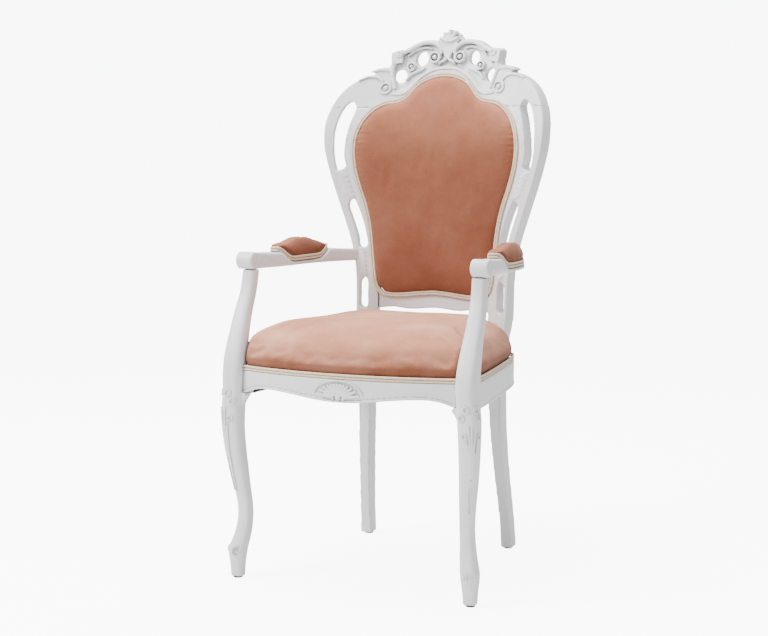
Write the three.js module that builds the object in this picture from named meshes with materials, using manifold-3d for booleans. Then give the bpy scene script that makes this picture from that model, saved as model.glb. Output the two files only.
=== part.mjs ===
// A carved, painted open armchair with an upholstered seat, back and arm pads.
// Millimetres, +Z up, +Y towards the back of the chair, +X to the right of someone facing it.
// The origin is on the floor under the middle of the chair.
import * as THREE from 'three';
import { mergeVertices } from 'three/addons/utils/BufferGeometryUtils.js';
import Module from 'manifold-3d';

const wasm = await Module();
wasm.setup();

// Driving dimensions
const GAP = 0.3;
const SOFT_ROOM = 1.2;

const GLIDE_HEIGHT = 3;
const GLIDE_RADIUS = 9.5;
const LEG_BOTTOM = GLIDE_HEIGHT + GAP;
const LEG_TOP = 620.4;

const RAIL_BOTTOM = 381;
const SIDE_RAIL_BOTTOM = 373;
const RAIL_TOP = 425.6;
const RAIL_THICKNESS = 27;
const FRONT_BOW = 36;
const FRONT_RAIL_ARCH = 12.5;
const FRONT_ARCH_AT = 168;
const FRONT_RAIL_HALF = 229.5;
const LEG_SPACING = 249;
const SIDE_STEPS = 11;
const SEAT_REAR = 431.5;

const GIMP_HEIGHT = 10.5;
const GIMP_PROUD = 4.6;
const WEBBING_THICKNESS = 1.5;
const WEBBING_WIDTH = 50;

const BACK_Y = 437;
const LOWER_LEAN = 0.055;
const UPPER_LEAN = 0.32;
const LEAN_CHANGE_Z = 900;
const LEAN_ROUNDING = 4;
const PLAN_CURVE = 0.0008;
const WRAP_TOLERANCE = 1.9;
const SOFT_TOLERANCE = 50;

const STILE_THICKNESS = 28;
const CREST_JOINT_Z = 950;
const LOWER_RAIL_END = 127;
const PANEL_STEPS = 20;

const ARM_BLOCK_RADIUS = 17.5;
const ARM_BLOCK_WIDTH = 37;
const ARM_PAD_START = 160;
const ARM_PAD_END = 352;
const ARM_GIMP_HEIGHT = 11.5;
const ARM_PAD_ROOM = 1;
const DUST_COVER_Z = 394.5;
const CLOTH_THICKNESS = 1.2;

const CREST_RECESS = 7;
const CREST_THICKNESS = 27;

// Solids, booleans and lofts
function bareCopy(geometry) {
  const bare = geometry.clone();
  bare.deleteAttribute('normal');
  bare.deleteAttribute('uv');
  return bare;
}

function toSolid(geometry) {
  const merged = mergeVertices(bareCopy(geometry), 1e-4);
  return new wasm.Manifold(new wasm.Mesh({
    numProp: 3,
    vertProperties: new Float32Array(merged.attributes.position.array),
    triVerts: new Uint32Array(merged.index.array),
  }));
}

function toGeometry(solid) {
  const mesh = solid.getMesh();
  const geometry = new THREE.BufferGeometry();
  geometry.setAttribute('position', new THREE.BufferAttribute(mesh.vertProperties, 3));
  geometry.setIndex(new THREE.BufferAttribute(mesh.triVerts, 1));
  return geometry;
}

function join(...geometries) {
  return toGeometry(geometries.map(toSolid).reduce((all, next) => all.add(next)));
}

function cut(geometry, ...tools) {
  return toGeometry(tools.reduce((left, tool) => left.subtract(toSolid(tool)), toSolid(geometry)));
}

function keep(geometry, tool) {
  return toGeometry(toSolid(geometry).intersect(toSolid(tool)));
}

function box(x0, x1, y0, y1, z0, z1) {
  const geometry = new THREE.BoxGeometry(x1 - x0, y1 - y0, z1 - z0);
  return geometry.translate((x0 + x1) / 2, (y0 + y1) / 2, (z0 + z1) / 2);
}

function flipFaces(geometry) {
  const index = geometry.index;
  for (let i = 0; i < index.count; i += 3) {
    const second = index.getX(i + 1);
    index.setX(i + 1, index.getX(i + 2));
    index.setX(i + 2, second);
  }
  return geometry;
}

function volume(geometry) {
  const [a, b, c] = [new THREE.Vector3(), new THREE.Vector3(), new THREE.Vector3()];
  const points = geometry.attributes.position;
  let sum = 0;
  for (let i = 0; i < geometry.index.count; i += 3) {
    a.fromBufferAttribute(points, geometry.index.getX(i));
    b.fromBufferAttribute(points, geometry.index.getX(i + 1));
    c.fromBufferAttribute(points, geometry.index.getX(i + 2));
    sum += a.dot(b.cross(c)) / 6;
  }
  return sum;
}

function mirrored(geometry) {
  const copy = geometry.clone().scale(-1, 1, 1);
  return flipFaces(copy.index ? copy : mergeVertices(copy));
}

// Skins rings of equal point counts into one closed body; a closed loft joins its last ring to its first.
function loft(rings, closed = false) {
  const count = rings[0].length;
  const points = rings.flat();
  const faces = [];
  const spans = closed ? rings.length : rings.length - 1;
  for (let i = 0; i < spans; i += 1) {
    const here = i * count;
    const next = ((i + 1) % rings.length) * count;
    for (let j = 0; j < count; j += 1) {
      const k = (j + 1) % count;
      faces.push(here + j, here + k, next + k, here + j, next + k, next + j);
    }
  }
  if (!closed) {
    for (const [start, turn] of [[0, 1], [(rings.length - 1) * count, 0]]) {
      const ring = points.slice(start, start + count);
      const centre = ring.reduce((sum, p) => sum.add(p), new THREE.Vector3()).divideScalar(count);
      const tip = points.push(centre) - 1;
      for (let j = 0; j < count; j += 1) {
        const [a, b] = [start + j, start + ((j + 1) % count)];
        faces.push(tip, ...(turn ? [b, a] : [a, b]));
      }
    }
  }
  const geometry = new THREE.BufferGeometry().setFromPoints(points);
  geometry.setIndex(faces);
  return volume(geometry) < 0 ? flipFaces(geometry) : geometry;
}

function smoothstep(value, low, high) {
  return THREE.MathUtils.smoothstep(value, low, high);
}

// Points along a smooth curve through hand-picked [x, y] pairs
function curveThrough(pairs, count) {
  const points = pairs.map(([x, y]) => new THREE.Vector3(x, y, 0));
  const curve = new THREE.CatmullRomCurve3(points, false, 'centripetal');
  return curve.getSpacedPoints(count).map((p) => new THREE.Vector2(p.x, p.y));
}

// One smooth value read off a list of [key, value...] rows, ordered by key
function tableCurve(rows) {
  return (key) => {
    let i = 1;
    while (i < rows.length - 1 && rows[i][0] < key) i += 1;
    const at = (j) => rows[THREE.MathUtils.clamp(j, 0, rows.length - 1)];
    const [r0, r1, r2, r3] = [at(i - 2), at(i - 1), at(i), at(i + 1)];
    const t = THREE.MathUtils.clamp((key - r1[0]) / (r2[0] - r1[0]), 0, 1);
    return r1.slice(1).map((value, k) => {
      const span = r2[0] - r1[0];
      const slopeIn = ((r2[k + 1] - r0[k + 1]) / Math.max(r2[0] - r0[0], 1e-9)) * span;
      const slopeOut = ((r3[k + 1] - r1[k + 1]) / Math.max(r3[0] - r1[0], 1e-9)) * span;
      const [t2, t3] = [t * t, t * t * t];
      return (2 * t3 - 3 * t2 + 1) * value + (t3 - 2 * t2 + t) * slopeIn
        + (3 * t2 - 2 * t3) * r2[k + 1] + (t3 - t2) * slopeOut;
    });
  };
}

// Superellipse ring of half sizes a and b round a centre, in a horizontal plane
function roundedSquare(cx, cy, z, a, b, sides = 12, power = 0.6) {
  return Array.from({ length: sides }, (_, i) => {
    const angle = ((i + 0.5) / sides) * Math.PI * 2;
    const [c, s] = [Math.cos(angle), Math.sin(angle)];
    const x = cx + a * Math.sign(c) * Math.abs(c) ** power;
    return new THREE.Vector3(x, cy + b * Math.sign(s) * Math.abs(s) ** power, z);
  });
}

// The back's curved front face: a flat drawing (across s, height z, depth t) is wrapped onto it
function backLine(z) {
  const low = BACK_Y + LOWER_LEAN * (z - 450);
  const high = BACK_Y + LOWER_LEAN * (LEAN_CHANGE_Z - 450) + UPPER_LEAN * (z - LEAN_CHANGE_Z);
  return (low + high) / 2 + Math.hypot((high - low) / 2, LEAN_ROUNDING);
}

// Front face of the rear legs below the seat, which splay backwards to the floor
const legLine = tableCurve([
  [0, 449], [50, 443], [100, 434], [150, 425.5], [200, 418.5], [250, 414], [300, 411.5], [380, 411],
  [430, 412.5], [540, 418],
]);

function wrapPoint(p) {
  const [s, z, t] = [p.x, p.y, p.z];
  const upper = smoothstep(z, 430, 520);
  const slope = -2 * PLAN_CURVE * s * upper;
  const length = Math.hypot(1, slope);
  const front = upper * (backLine(z) - PLAN_CURVE * s * s) + (1 - upper) * legLine(z)[0];
  return new THREE.Vector3(s - (t * slope) / length, front + t / length, z);
}

// Splits every edge whose middle would leave the curved surface by more than the tolerance
function refined(geometry, bend, tolerance) {
  const points = Array.from({ length: geometry.attributes.position.count }, (_, i) => (
    new THREE.Vector3().fromBufferAttribute(geometry.attributes.position, i)));
  let faces = Array.from(geometry.index.array);
  for (let pass = 0; pass < 5; pass += 1) {
    const middles = new Map();
    const middle = (a, b) => {
      const key = Math.min(a, b) * 1e6 + Math.max(a, b);
      if (!middles.has(key)) {
        const flat = points[a].clone().lerp(points[b], 0.5);
        const chord = bend(points[a]).lerp(bend(points[b]), 0.5);
        middles.set(key, bend(flat).distanceTo(chord) > tolerance ? points.push(flat) - 1 : -1);
      }
      return middles.get(key);
    };
    const next = [];
    for (let i = 0; i < faces.length; i += 3) {
      next.push(...splitFace(faces.slice(i, i + 3), middle));
    }
    if (next.length === faces.length) break;
    faces = next;
  }
  const result = new THREE.BufferGeometry().setFromPoints(points);
  result.setIndex(faces);
  return result;
}

function splitFace([a, b, c], middle) {
  const [ab, bc, ca] = [middle(a, b), middle(b, c), middle(c, a)];
  const count = [ab, bc, ca].filter((m) => m >= 0).length;
  if (count === 0) return [a, b, c];
  if (count === 3) return [a, ab, ca, ab, b, bc, ca, bc, c, ab, bc, ca];
  if (count === 1) {
    if (ab >= 0) return [a, ab, c, ab, b, c];
    if (bc >= 0) return [a, b, bc, a, bc, c];
    return [a, b, ca, ca, b, c];
  }
  if (ca < 0) return [ab, b, bc, a, ab, bc, a, bc, c];
  if (ab < 0) return [bc, c, ca, a, b, bc, a, bc, ca];
  return [a, ab, ca, ab, b, c, ab, c, ca];
}

function wrap(geometry, tolerance = WRAP_TOLERANCE) {
  const merged = geometry.index ? geometry : mergeVertices(bareCopy(geometry), 1e-4);
  const indexed = refined(merged, wrapPoint, tolerance);
  const points = indexed.attributes.position;
  const p = new THREE.Vector3();
  for (let i = 0; i < points.count; i += 1) {
    const moved = wrapPoint(p.fromBufferAttribute(points, i));
    points.setXYZ(i, moved.x, moved.y, moved.z);
  }
  return flipFaces(indexed);
}

// Flat board of a drawn outline between two depths, with softened edges
function board(outline, holes, front, back, bevel) {
  const shape = new THREE.Shape(outline);
  shape.holes = holes.map((hole) => new THREE.Path(hole));
  const geometry = new THREE.ExtrudeGeometry(shape, {
    depth: back - front - 2 * bevel,
    bevelEnabled: bevel > 0,
    bevelThickness: bevel,
    bevelSize: bevel,
    bevelOffset: -bevel,
    bevelSegments: 1,
    curveSegments: 1,
  });
  return geometry.translate(0, 0, front + bevel);
}

// Carved bar along a flat path: rounded on its front, flat on its hidden back, tapering by its widths
function bar(pairs, widths, front, back, stations = 12) {
  const path = curveThrough(pairs, stations);
  const widthAt = tableCurve(widths.map((w, i) => [i / (widths.length - 1), w]));
  const rings = path.map((p, i) => {
    const before = path[Math.max(i - 1, 0)];
    const after = path[Math.min(i + 1, path.length - 1)];
    const along = new THREE.Vector2().subVectors(after, before).normalize();
    const half = widthAt(i / stations)[0] / 2;
    const shoulder = front + Math.min(half * 0.8, (back - front) * 0.5);
    const section = [[-1, back], [-1, shoulder], [0, front], [1, shoulder], [1, back]];
    return section.map(([side, t]) => new THREE.Vector3(
      p.x - along.y * side * half,
      p.y + along.x * side * half,
      t,
    ));
  });
  return loft(rings);
}

function spiral(cx, cy, startRadius, endRadius, startAngle, turns, count) {
  return Array.from({ length: count + 1 }, (_, i) => {
    const share = i / count;
    const radius = startRadius + (endRadius - startRadius) * share;
    const angle = startAngle + turns * 2 * Math.PI * share;
    return [cx + radius * Math.cos(angle), cy + radius * Math.sin(angle)];
  });
}

function disc(cx, cy, radius, front, back, sides = 10) {
  const geometry = new THREE.CylinderGeometry(radius, radius * 0.7, back - front, sides);
  return geometry.rotateX(Math.PI / 2).translate(cx, cy, (front + back) / 2);
}

// Outlines of the back, right half, in flat coordinates
const PANEL_HALF = curveThrough([
  [0, 546.5], [30, 544.5], [60, 541], [86, 539.2], [106, 540], [122, 545], [133, 554], [139.5, 570],
  [144, 600], [148.5, 640], [154, 690], [164, 735], [180, 782], [191, 825], [194, 860], [190.5, 892],
  [180, 921], [166, 941], [149, 956], [128, 965.5], [104, 969.5], [93, 973], [85, 980], [76, 991],
  [64, 1004], [48, 1014.5], [30, 1021.5], [14, 1025], [0, 1026],
], PANEL_STEPS);
PANEL_HALF[0].x = 0;
PANEL_HALF[PANEL_STEPS].x = 0;

const HOOP_OUTER = curveThrough([
  [174.5, 500], [175.3, 545], [176.5, 585], [180.5, 622], [188.5, 660], [200, 698], [214, 740],
  [228, 782], [240.5, 825], [248.5, 860], [251, 890], [249.5, 920], [241, 952], [226, 980],
  [206, 1001], [181, 1016], [156, 1022.5], [148, 1023],
], 20);

const SLOT_TOP = curveThrough([
  [222, 812], [228, 840], [230.5, 875], [228.5, 908], [220, 940], [210, 957], [200, 964], [191.5, 957],
  [190.5, 944], [197, 925], [203, 900], [207.5, 870], [207.5, 840], [204, 822], [222, 812],
], 15).slice(0, 15);

const SLOT_MIDDLE = curveThrough([
  [183, 752], [177, 738], [169, 718], [162.5, 698], [157.5, 678], [154, 650], [169.5, 646], [174, 668],
  [181, 692], [189, 715], [195.5, 736], [192, 750], [183, 752],
], 11).slice(0, 11);

const SLOT_LOWER = curveThrough([
  [156, 584], [151.5, 574], [151, 545], [151.5, 518], [158.5, 514], [166, 518], [167, 545],
  [166.5, 572], [156, 584],
], 8).slice(0, 8);

// Moves an outline to its left, which is inwards on a counter-clockwise one
function inset(points, distance, open = false) {
  const last = points.length - 1;
  return points.map((p, i) => {
    const before = points[i > 0 ? i - 1 : open ? 0 : last];
    const after = points[i < last ? i + 1 : open ? last : 0];
    const along = new THREE.Vector2().subVectors(after, before).normalize();
    return new THREE.Vector2(p.x - along.y * distance, p.y + along.x * distance);
  });
}

// The whole panel outline, running counter-clockwise from the bottom centre
function panelOutline(distance) {
  const left = PANEL_HALF.slice(1, -1).reverse().map((p) => new THREE.Vector2(-p.x, p.y));
  return inset([...PANEL_HALF, ...left], distance);
}

const PANEL_OPENING = panelOutline(5);

// Back frame
const LEG_EDGES = tableCurve([
  [0, 179.5, 155], [50, 177.5, 154.5], [100, 174.5, 152.5], [150, 171.5, 149], [200, 169.3, 145.5],
  [250, 167.8, 142], [300, 167.5, 139], [380, 167.3, 136.2], [430, 168.8, 133.5], [480, 172.5, 130],
  [515, 175, 128],
]);

function legOuter(z) {
  return LEG_EDGES(z)[0];
}

function legInner(z) {
  return LEG_EDGES(z)[1];
}

function stileOutline() {
  const legHeights = [LEG_BOTTOM, 60, 120, 180, 240, 310, 370, 420, 465];
  const outside = legHeights.map((z) => new THREE.Vector2(legOuter(z), z));
  const hoop = HOOP_OUTER.filter((p) => p.y < 1002 && p.x > 170);
  const inside = PANEL_OPENING.filter((p) => p.x > LOWER_RAIL_END + 1 && p.y < 960).reverse();
  const lower = [new THREE.Vector2(128, 547), new THREE.Vector2(128, 515)];
  const legBack = [...legHeights].reverse().map((z) => new THREE.Vector2(legInner(z), z));
  return [...outside, ...hoop, new THREE.Vector2(150, 1000), ...inside, ...lower, ...legBack];
}

const stileDepth = tableCurve([
  [0, 31], [60, 34], [130, 38], [230, 38], [330, 35], [430, 33], [540, 29], [620, 28], [1100, 28],
]);

// Thins a flat board from its full depth to the depth that the height asks for
function taperDepth(geometry) {
  const points = geometry.attributes.position;
  for (let i = 0; i < points.count; i += 1) {
    points.setZ(i, (points.getZ(i) * stileDepth(points.getY(i))[0]) / STILE_THICKNESS);
  }
  return geometry;
}

// Leaf lobes carved across the bridge between two slots
function bridgeLeaves(lowPoint, highPoint, count, width) {
  const along = new THREE.Vector2().subVectors(highPoint, lowPoint);
  const rise = (along.length() / count) * 0.5;
  return Array.from({ length: count }, (_, i) => {
    const centre = lowPoint.clone().addScaledVector(along, (i + 0.5) / count);
    return bar([
      [centre.x - width / 2, centre.y - rise],
      [centre.x, centre.y - rise * 0.3],
      [centre.x + width / 2, centre.y + rise],
    ], [rise * 0.9, rise * 1.7, rise * 0.9], -2.6, 5, 2);
  });
}

function rearStile() {
  let flat = board(stileOutline(), [SLOT_TOP, SLOT_MIDDLE, SLOT_LOWER], 0, STILE_THICKNESS, 3);
  flat = join(
    flat,
    ...bridgeLeaves(new THREE.Vector2(191, 758), new THREE.Vector2(213, 812), 4, 19),
    ...bridgeLeaves(new THREE.Vector2(158.5, 590), new THREE.Vector2(162, 644), 5, 13),
  );
  flat = keep(flat, box(100, 300, 0, CREST_JOINT_Z - GAP / 2, -20, 60));
  return wrap(taperDepth(flat));
}

// The room that a stile takes between two heights, with a little clearance, for cutting its neighbours
function stileClearance(z0, z1, room = GAP + 0.2) {
  const steps = Array.from({ length: 7 }, (_, i) => z0 + ((z1 - z0) * i) / 6);
  const hoop = tableCurve(HOOP_OUTER.filter((p) => p.y < 900).map((p) => [p.y, p.x]));
  const outer = (z) => (z < 500 ? legOuter(z) : hoop(z)[0]);
  const outside = steps.map((z) => new THREE.Vector2(outer(z) + room, z));
  const inside = [...steps].reverse().map((z) => new THREE.Vector2(legInner(z) - room, z));
  return wrap(board([...outside, ...inside], [], -room, 38 + room, 0));
}

function lowerBackRail() {
  const top = PANEL_OPENING.filter((p) => Math.abs(p.x) < LOWER_RAIL_END - 2 && p.y < 600);
  top.sort((a, b) => b.x - a.x);
  const bottom = curveThrough([
    [-LOWER_RAIL_END, 514], [-95, 517], [-55, 513.5], [0, 517.5],
    [55, 513.5], [95, 517], [LOWER_RAIL_END, 514],
  ], 20);
  const ends = [new THREE.Vector2(LOWER_RAIL_END, 549.5)];
  const outline = [...bottom, ...ends, ...top, new THREE.Vector2(-LOWER_RAIL_END, 549.5)];
  return wrap(board(outline, [], 3, 27, 2));
}

// Carved openwork crest
function crestOutline() {
  const hoop = HOOP_OUTER.filter((p) => p.y > 926);
  const carving = [
    [149, 1025], [166, 1028.5], [150, 1036], [130, 1038.5], [126, 1048], [127, 1064], [124, 1073.5],
    [113, 1076], [102, 1075], [90, 1080], [76, 1089], [60, 1095.5], [44, 1097.5], [29, 1096.5],
    [26.5, 1100], [21, 1104], [19, 1109], [12, 1112], [9, 1117], [3, 1118], [0, 1120],
  ].map(([s, z]) => new THREE.Vector2(s, z));
  const right = [new THREE.Vector2(251, 925), ...hoop, ...carving];
  const left = right.slice(0, -1).reverse().map((p) => new THREE.Vector2(-p.x, p.y));
  const opening = PANEL_OPENING.filter((p) => p.y > 926).sort((a, b) => a.x - b.x);
  return [
    ...right, ...left, new THREE.Vector2(-174, 925), ...opening, new THREE.Vector2(174, 925),
  ];
}

function ellipse(cx, cy, rx, ry, turn, count) {
  return Array.from({ length: count }, (_, i) => {
    const angle = (i / count) * 2 * Math.PI;
    const [x, y] = [rx * Math.cos(angle), ry * Math.sin(angle)];
    return new THREE.Vector2(
      cx + x * Math.cos(turn) - y * Math.sin(turn),
      cy + x * Math.sin(turn) + y * Math.cos(turn),
    );
  });
}

function crestHoles() {
  const slotEnd = SLOT_TOP.filter((p) => p.y > 930);
  const scroll = ellipse(60, 1056.5, 13.5, 16.5, 0.15, 12);
  const eyelet = ellipse(103.5, 1018.5, 14, 15, -0.3, 11);
  const right = [slotEnd, scroll, eyelet];
  return [...right, ...right.map((hole) => hole.map((p) => new THREE.Vector2(-p.x, p.y)))];
}

// Lowered ground of the openwork, from the bead over the panel up to the arches
function crestGround() {
  const half = [
    [0, 1040], [22, 1038], [42, 1030], [60, 1018], [76, 1001], [88, 989], [104, 986], [118, 990],
    [123, 1004], [128, 1020], [140, 1040], [136, 1084], [100, 1100], [60, 1110], [32, 1130], [0, 1130],
  ];
  const left = half.slice(1, -1).reverse().map(([s, z]) => [-s, z]);
  return board([...half, ...left].map(([s, z]) => new THREE.Vector2(s, z)), [], -10, CREST_RECESS, 0);
}

function crestScrolls() {
  const volute = spiral(29.5, 1059.5, 14, 6, Math.PI * 0.86, 1.2, 9);
  const arch = [[106, 1069], [91, 1075], [76, 1084], [60, 1090.5], [44, 1092], [29, 1088], [18, 1078]];
  const curl = spiral(80.5, 1040, 10, 4.5, Math.PI * 1.2, 1.1, 7);
  const earVolute = spiral(131.5, 993, 17, 7, Math.PI * 0.36, -1.15, 8);
  return [
    bar([...arch, ...volute], [9, 10, 9.5, 7, 5.5, 4], -3, 12, 19),
    bar([[92, 1062], [80, 1072], [66, 1078.5], [50, 1080.5], [38, 1077]], [3, 5, 5, 3], 1, 12, 5),
    disc(29.5, 1059.5, 5, -2.5, 12, 7),
    bar([[116, 1052], [122, 1038], [121, 1022], [116, 1006], [112, 990]], [8, 10, 8, 7, 7], -2.5, 12, 6),
    bar([[118, 1028], [134, 1033], [150, 1032.5], [167, 1028.5]], [5, 10, 7, 1], -2, 14, 4),
    bar([[66, 1036], ...curl], [6, 5.5, 5, 3.5], -1.5, 12, 9),
    bar([[50, 1036], [66, 1031], [80, 1022], [90, 1009]], [3, 7, 7, 3], 0, 12, 4),
    bar([[0, 1035], [21, 1033.5], [41, 1026], [58, 1014], [73, 998], [86, 984], [103, 979], [120, 980]],
      [7, 7, 7, 6], -3, 9, 9),
    bar([[192, 1010], [170, 1018], [150, 1018.5], ...earVolute], [3, 5, 6, 5.5, 4], -2.6, 8, 13),
    disc(131.5, 993, 4.5, -2.4, 8, 7),
  ];
}

function crestBlock() {
  const corners = [[101, 1048], [125, 1045], [127.5, 1070], [103, 1077]];
  const outline = corners.map(([s, z]) => new THREE.Vector2(s, z));
  return [board(outline, [], -4.5, CREST_THICKNESS, 2.5), disc(110, 1066, 6.5, -7, 0, 8)];
}

// Palmette of five lobes on a wedge-shaped body, with a leaf drop below it
function crestFinial() {
  const lobes = [-64, -33, 0, 33, 64].map((degrees) => {
    const angle = THREE.MathUtils.degToRad(90 - degrees);
    const length = degrees === 0 ? 28 : 27 - Math.abs(degrees) * 0.04;
    const at = (share) => [Math.cos(angle) * length * share, 1091 + Math.sin(angle) * length * share];
    return bar([at(0.05), at(0.5), at(1)], [4, 9.5, 5], -6, 10, 3);
  });
  const body = board([
    [-24, 1097], [-12, 1074], [-5, 1056], [5, 1056], [12, 1074], [24, 1097], [0, 1104],
  ].map(([s, z]) => new THREE.Vector2(s, z)), [], -2.5, 12, 2);
  const drops = [-1, 1].map((side) => bar([
    [0, 1060], [side * 6, 1053], [side * 15, 1048], [side * 20, 1043],
  ], [4, 6.5, 5, 1.5], -3, 12, 3));
  return [...lobes, body, ...drops];
}

function crestRail() {
  const plate = cut(board(crestOutline(), crestHoles(), 0, CREST_THICKNESS, 0), crestGround());
  const sided = [...crestScrolls(), ...crestBlock()];
  let flat = join(plate, ...sided, ...sided.map(mirrored), ...crestFinial());
  flat = keep(flat, box(-300, 300, CREST_JOINT_Z + GAP / 2, 1130, -20, 60));
  return wrap(flat);
}

// Front legs, each one piece from the floor to the arm
const FRONT_LEG = tableCurve([
  [0, 251.6, 18.6, 12.6, 11.8], [30, 251.6, 18.4, 14.6, 13.8], [48, 251.4, 18.2, 16.8, 16.2],
  [62, 250.4, 19.6, 17.6, 17.4], [90, 244.4, 27.4, 15.8, 15.6], [120, 240.8, 32, 14.2, 14.2],
  [150, 240.2, 30.6, 14, 14], [185, 243, 24.8, 15, 15], [225, 246.8, 18.8, 17, 16.8],
  [265, 250.2, 13.2, 18.4, 18.4],
  [310, 252.4, 8.6, 19.8, 19.8], [350, 252.2, 7.8, 20.8, 21.6], [385, 250, 8.5, 20.5, 22.5],
  [420, 248.5, 8, 21, 23.5], [455, 248.6, 13.5, 20.4, 21.5], [500, 249.3, 29.8, 18, 18.5],
  [540, 249.5, 48, 16.2, 16.6], [580, 247.8, 65.5, 15, 15], [622, 246.6, 75, 14.6, 14.4],
]);

const LEG_STATIONS = [30, 60, 85, 110, 140, 175, 215, 260, 310, 355, 390, 425, 460, 500, 540, 580];

function frontLegBody(room = 0, low = LEG_BOTTOM, high = LEG_TOP) {
  const heights = [low, ...LEG_STATIONS.filter((z) => z > low + 5 && z < high - 5), high];
  return loft(heights.map((z) => {
    const [x, y, a, b] = FRONT_LEG(z);
    return roundedSquare(x, y, z, a + room, b + room);
  }));
}

// Scrolled toe: a roll lying across the leg's outward diagonal, with a raised eye at each end
function toeScroll() {
  const roll = new THREE.CylinderGeometry(11, 11, 28, 12);
  const eye = new THREE.CylinderGeometry(5, 5, 31, 8);
  const place = (part) => part.rotateZ(-Math.PI / 4).translate(255.4, 9.9, 58);
  return [place(roll), place(eye)];
}

// Acanthus leaf falling from the rail over the knee: lobes laid on the leg's surface round its outward corner
function kneeLeaf() {
  const onKnee = (z, turn, proud) => {
    const [x, y, a, b] = FRONT_LEG(z);
    const angle = turn - Math.PI / 4;
    const [c, s] = [Math.cos(angle), Math.sin(angle)];
    const reach = (Math.abs(c / a) ** 3.3 + Math.abs(s / b) ** 3.3) ** (-1 / 3.3) + proud;
    return new THREE.Vector3(x + c * reach, y + s * reach, z);
  };
  const lobe = (z0, z1, turn0, turn1, width) => {
    const rings = Array.from({ length: 5 }, (_, i) => {
      const share = i / 4;
      const z = z0 + (z1 - z0) * share;
      const turn = turn0 + (turn1 - turn0) * share;
      const half = width * Math.sin(Math.PI * (0.15 + 0.75 * share));
      return [[-half, -5], [-half, -0.5], [0, 1.8], [half, -0.5], [half, -5]].map(([across, proud]) => (
        onKnee(z, turn + across, proud)));
    });
    return loft(rings);
  };
  return [
    lobe(416, 292, 0, 0, 0.2), lobe(412, 356, -0.3, -0.95, 0.15), lobe(412, 356, 0.3, 0.95, 0.15),
  ];
}

// Small bracket that carries the front rail's curved lower edge into the leg
function kneeBracket() {
  const side = [[236, 345], [231, 356], [226, 366], [221, 372], [219.5, 377], [221, RAIL_BOTTOM - GAP],
    [240, RAIL_BOTTOM - GAP]];
  const shape = new THREE.Shape(side.map(([x, z]) => new THREE.Vector2(x, z)));
  const plate = new THREE.ExtrudeGeometry(shape, { depth: 24, bevelEnabled: false });
  return plate.rotateX(Math.PI / 2).translate(0, 21.5, 0);
}

function frontLeg() {
  return join(frontLegBody(), ...toeScroll(), ...kneeLeaf(), kneeBracket());
}

function frontLegClearance(low, high, room = GAP + 0.2) {
  return frontLegBody(room, low, high);
}

// Seat rails
function frontBow(x) {
  return -FRONT_BOW * (1 - (x / (LEG_SPACING - 26)) ** 2) + 2;
}

function frontRailBottom(x) {
  const share = Math.abs(x) / FRONT_ARCH_AT;
  const arch = share < 1 ? 0.5 - 0.5 * Math.cos(Math.PI * share) : Math.max(0, 1 - ((share - 1) / 0.32) ** 2);
  return RAIL_BOTTOM + FRONT_RAIL_ARCH * arch;
}

// Fan shell of radiating flutes over a small boss, drawn flat and then laid on the bowed rail
function shell() {
  const flutes = 11;
  const rays = Array.from({ length: flutes }, (_, i) => {
    const angle = Math.PI * (0.07 + (0.86 * i) / (flutes - 1));
    const reach = 1 / Math.hypot(Math.cos(angle) / 55, Math.sin(angle) / 37);
    const at = (share) => [Math.cos(angle) * reach * share, 388 + Math.sin(angle) * reach * share];
    return bar([at(0.14), at(0.62), at(1)], [2.5, 7.5, 9.5], -3.2, 5, 2);
  });
  return [...rays, disc(0, 390.5, 7.5, -4, 5, 8)].map((part) => {
    const points = part.attributes.position;
    for (let i = 0; i < points.count; i += 1) {
      const [x, z, depth] = [points.getX(i), points.getY(i), points.getZ(i)];
      points.setXYZ(i, x, frontBow(x) + depth, z);
    }
    return flipFaces(part.index ? part : mergeVertices(bareCopy(part), 1e-4));
  });
}

function frontRail() {
  const steps = 16;
  const rings = Array.from({ length: steps + 1 }, (_, i) => {
    const x = FRONT_RAIL_HALF * ((2 * i) / steps - 1);
    const bottom = frontRailBottom(x);
    const front = frontBow(x);
    const section = [
      [RAIL_THICKNESS, bottom], [-1.2, bottom], [-1.2, bottom + 3.6], [1.2, bottom + 4.6], [0, bottom + 6.5],
      [0, RAIL_TOP - 1.5], [1.5, RAIL_TOP], [RAIL_THICKNESS, RAIL_TOP],
    ];
    return section.map(([depth, z]) => new THREE.Vector3(x, front + depth, z));
  });
  const leg = frontLegClearance(365, 435);
  return cut(join(loft(rings), ...shell()), leg, mirrored(leg));
}

// Outer face of the seat frame in plan, right half, from the front leg round the rear corner
const SEAT_SIDE = curveThrough([
  [259, 22], [254, 80], [246, 150], [237, 215], [229, 270], [220, 325], [210, 368], [201, 394],
  [189, 413], [175, 426], [160, 433],
], SIDE_STEPS);

// Band that follows the seat's side in plan, with its outer face on the outline
function sideBand(thickness, z0, z1, bevel = 0) {
  const inner = inset(SEAT_SIDE, thickness, true).reverse();
  const shape = new THREE.Shape([...SEAT_SIDE, ...inner]);
  const band = new THREE.ExtrudeGeometry(shape, {
    depth: z1 - z0 - 2 * bevel,
    bevelEnabled: bevel > 0,
    bevelThickness: bevel,
    bevelSize: bevel,
    bevelOffset: -bevel,
    bevelSegments: 1,
  });
  return band.translate(0, 0, z0 + bevel);
}

function sideRail() {
  const rail = sideBand(RAIL_THICKNESS, SIDE_RAIL_BOTTOM, RAIL_TOP, 1);
  return cut(rail, frontLegClearance(365, 435), stileClearance(365, 435));
}

function rearRail() {
  return cut(
    box(-140, 140, 410, 431.5, RAIL_BOTTOM + 4, RAIL_TOP),
    stileClearance(370, 435),
    mirrored(stileClearance(370, 435)),
  );
}

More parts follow.
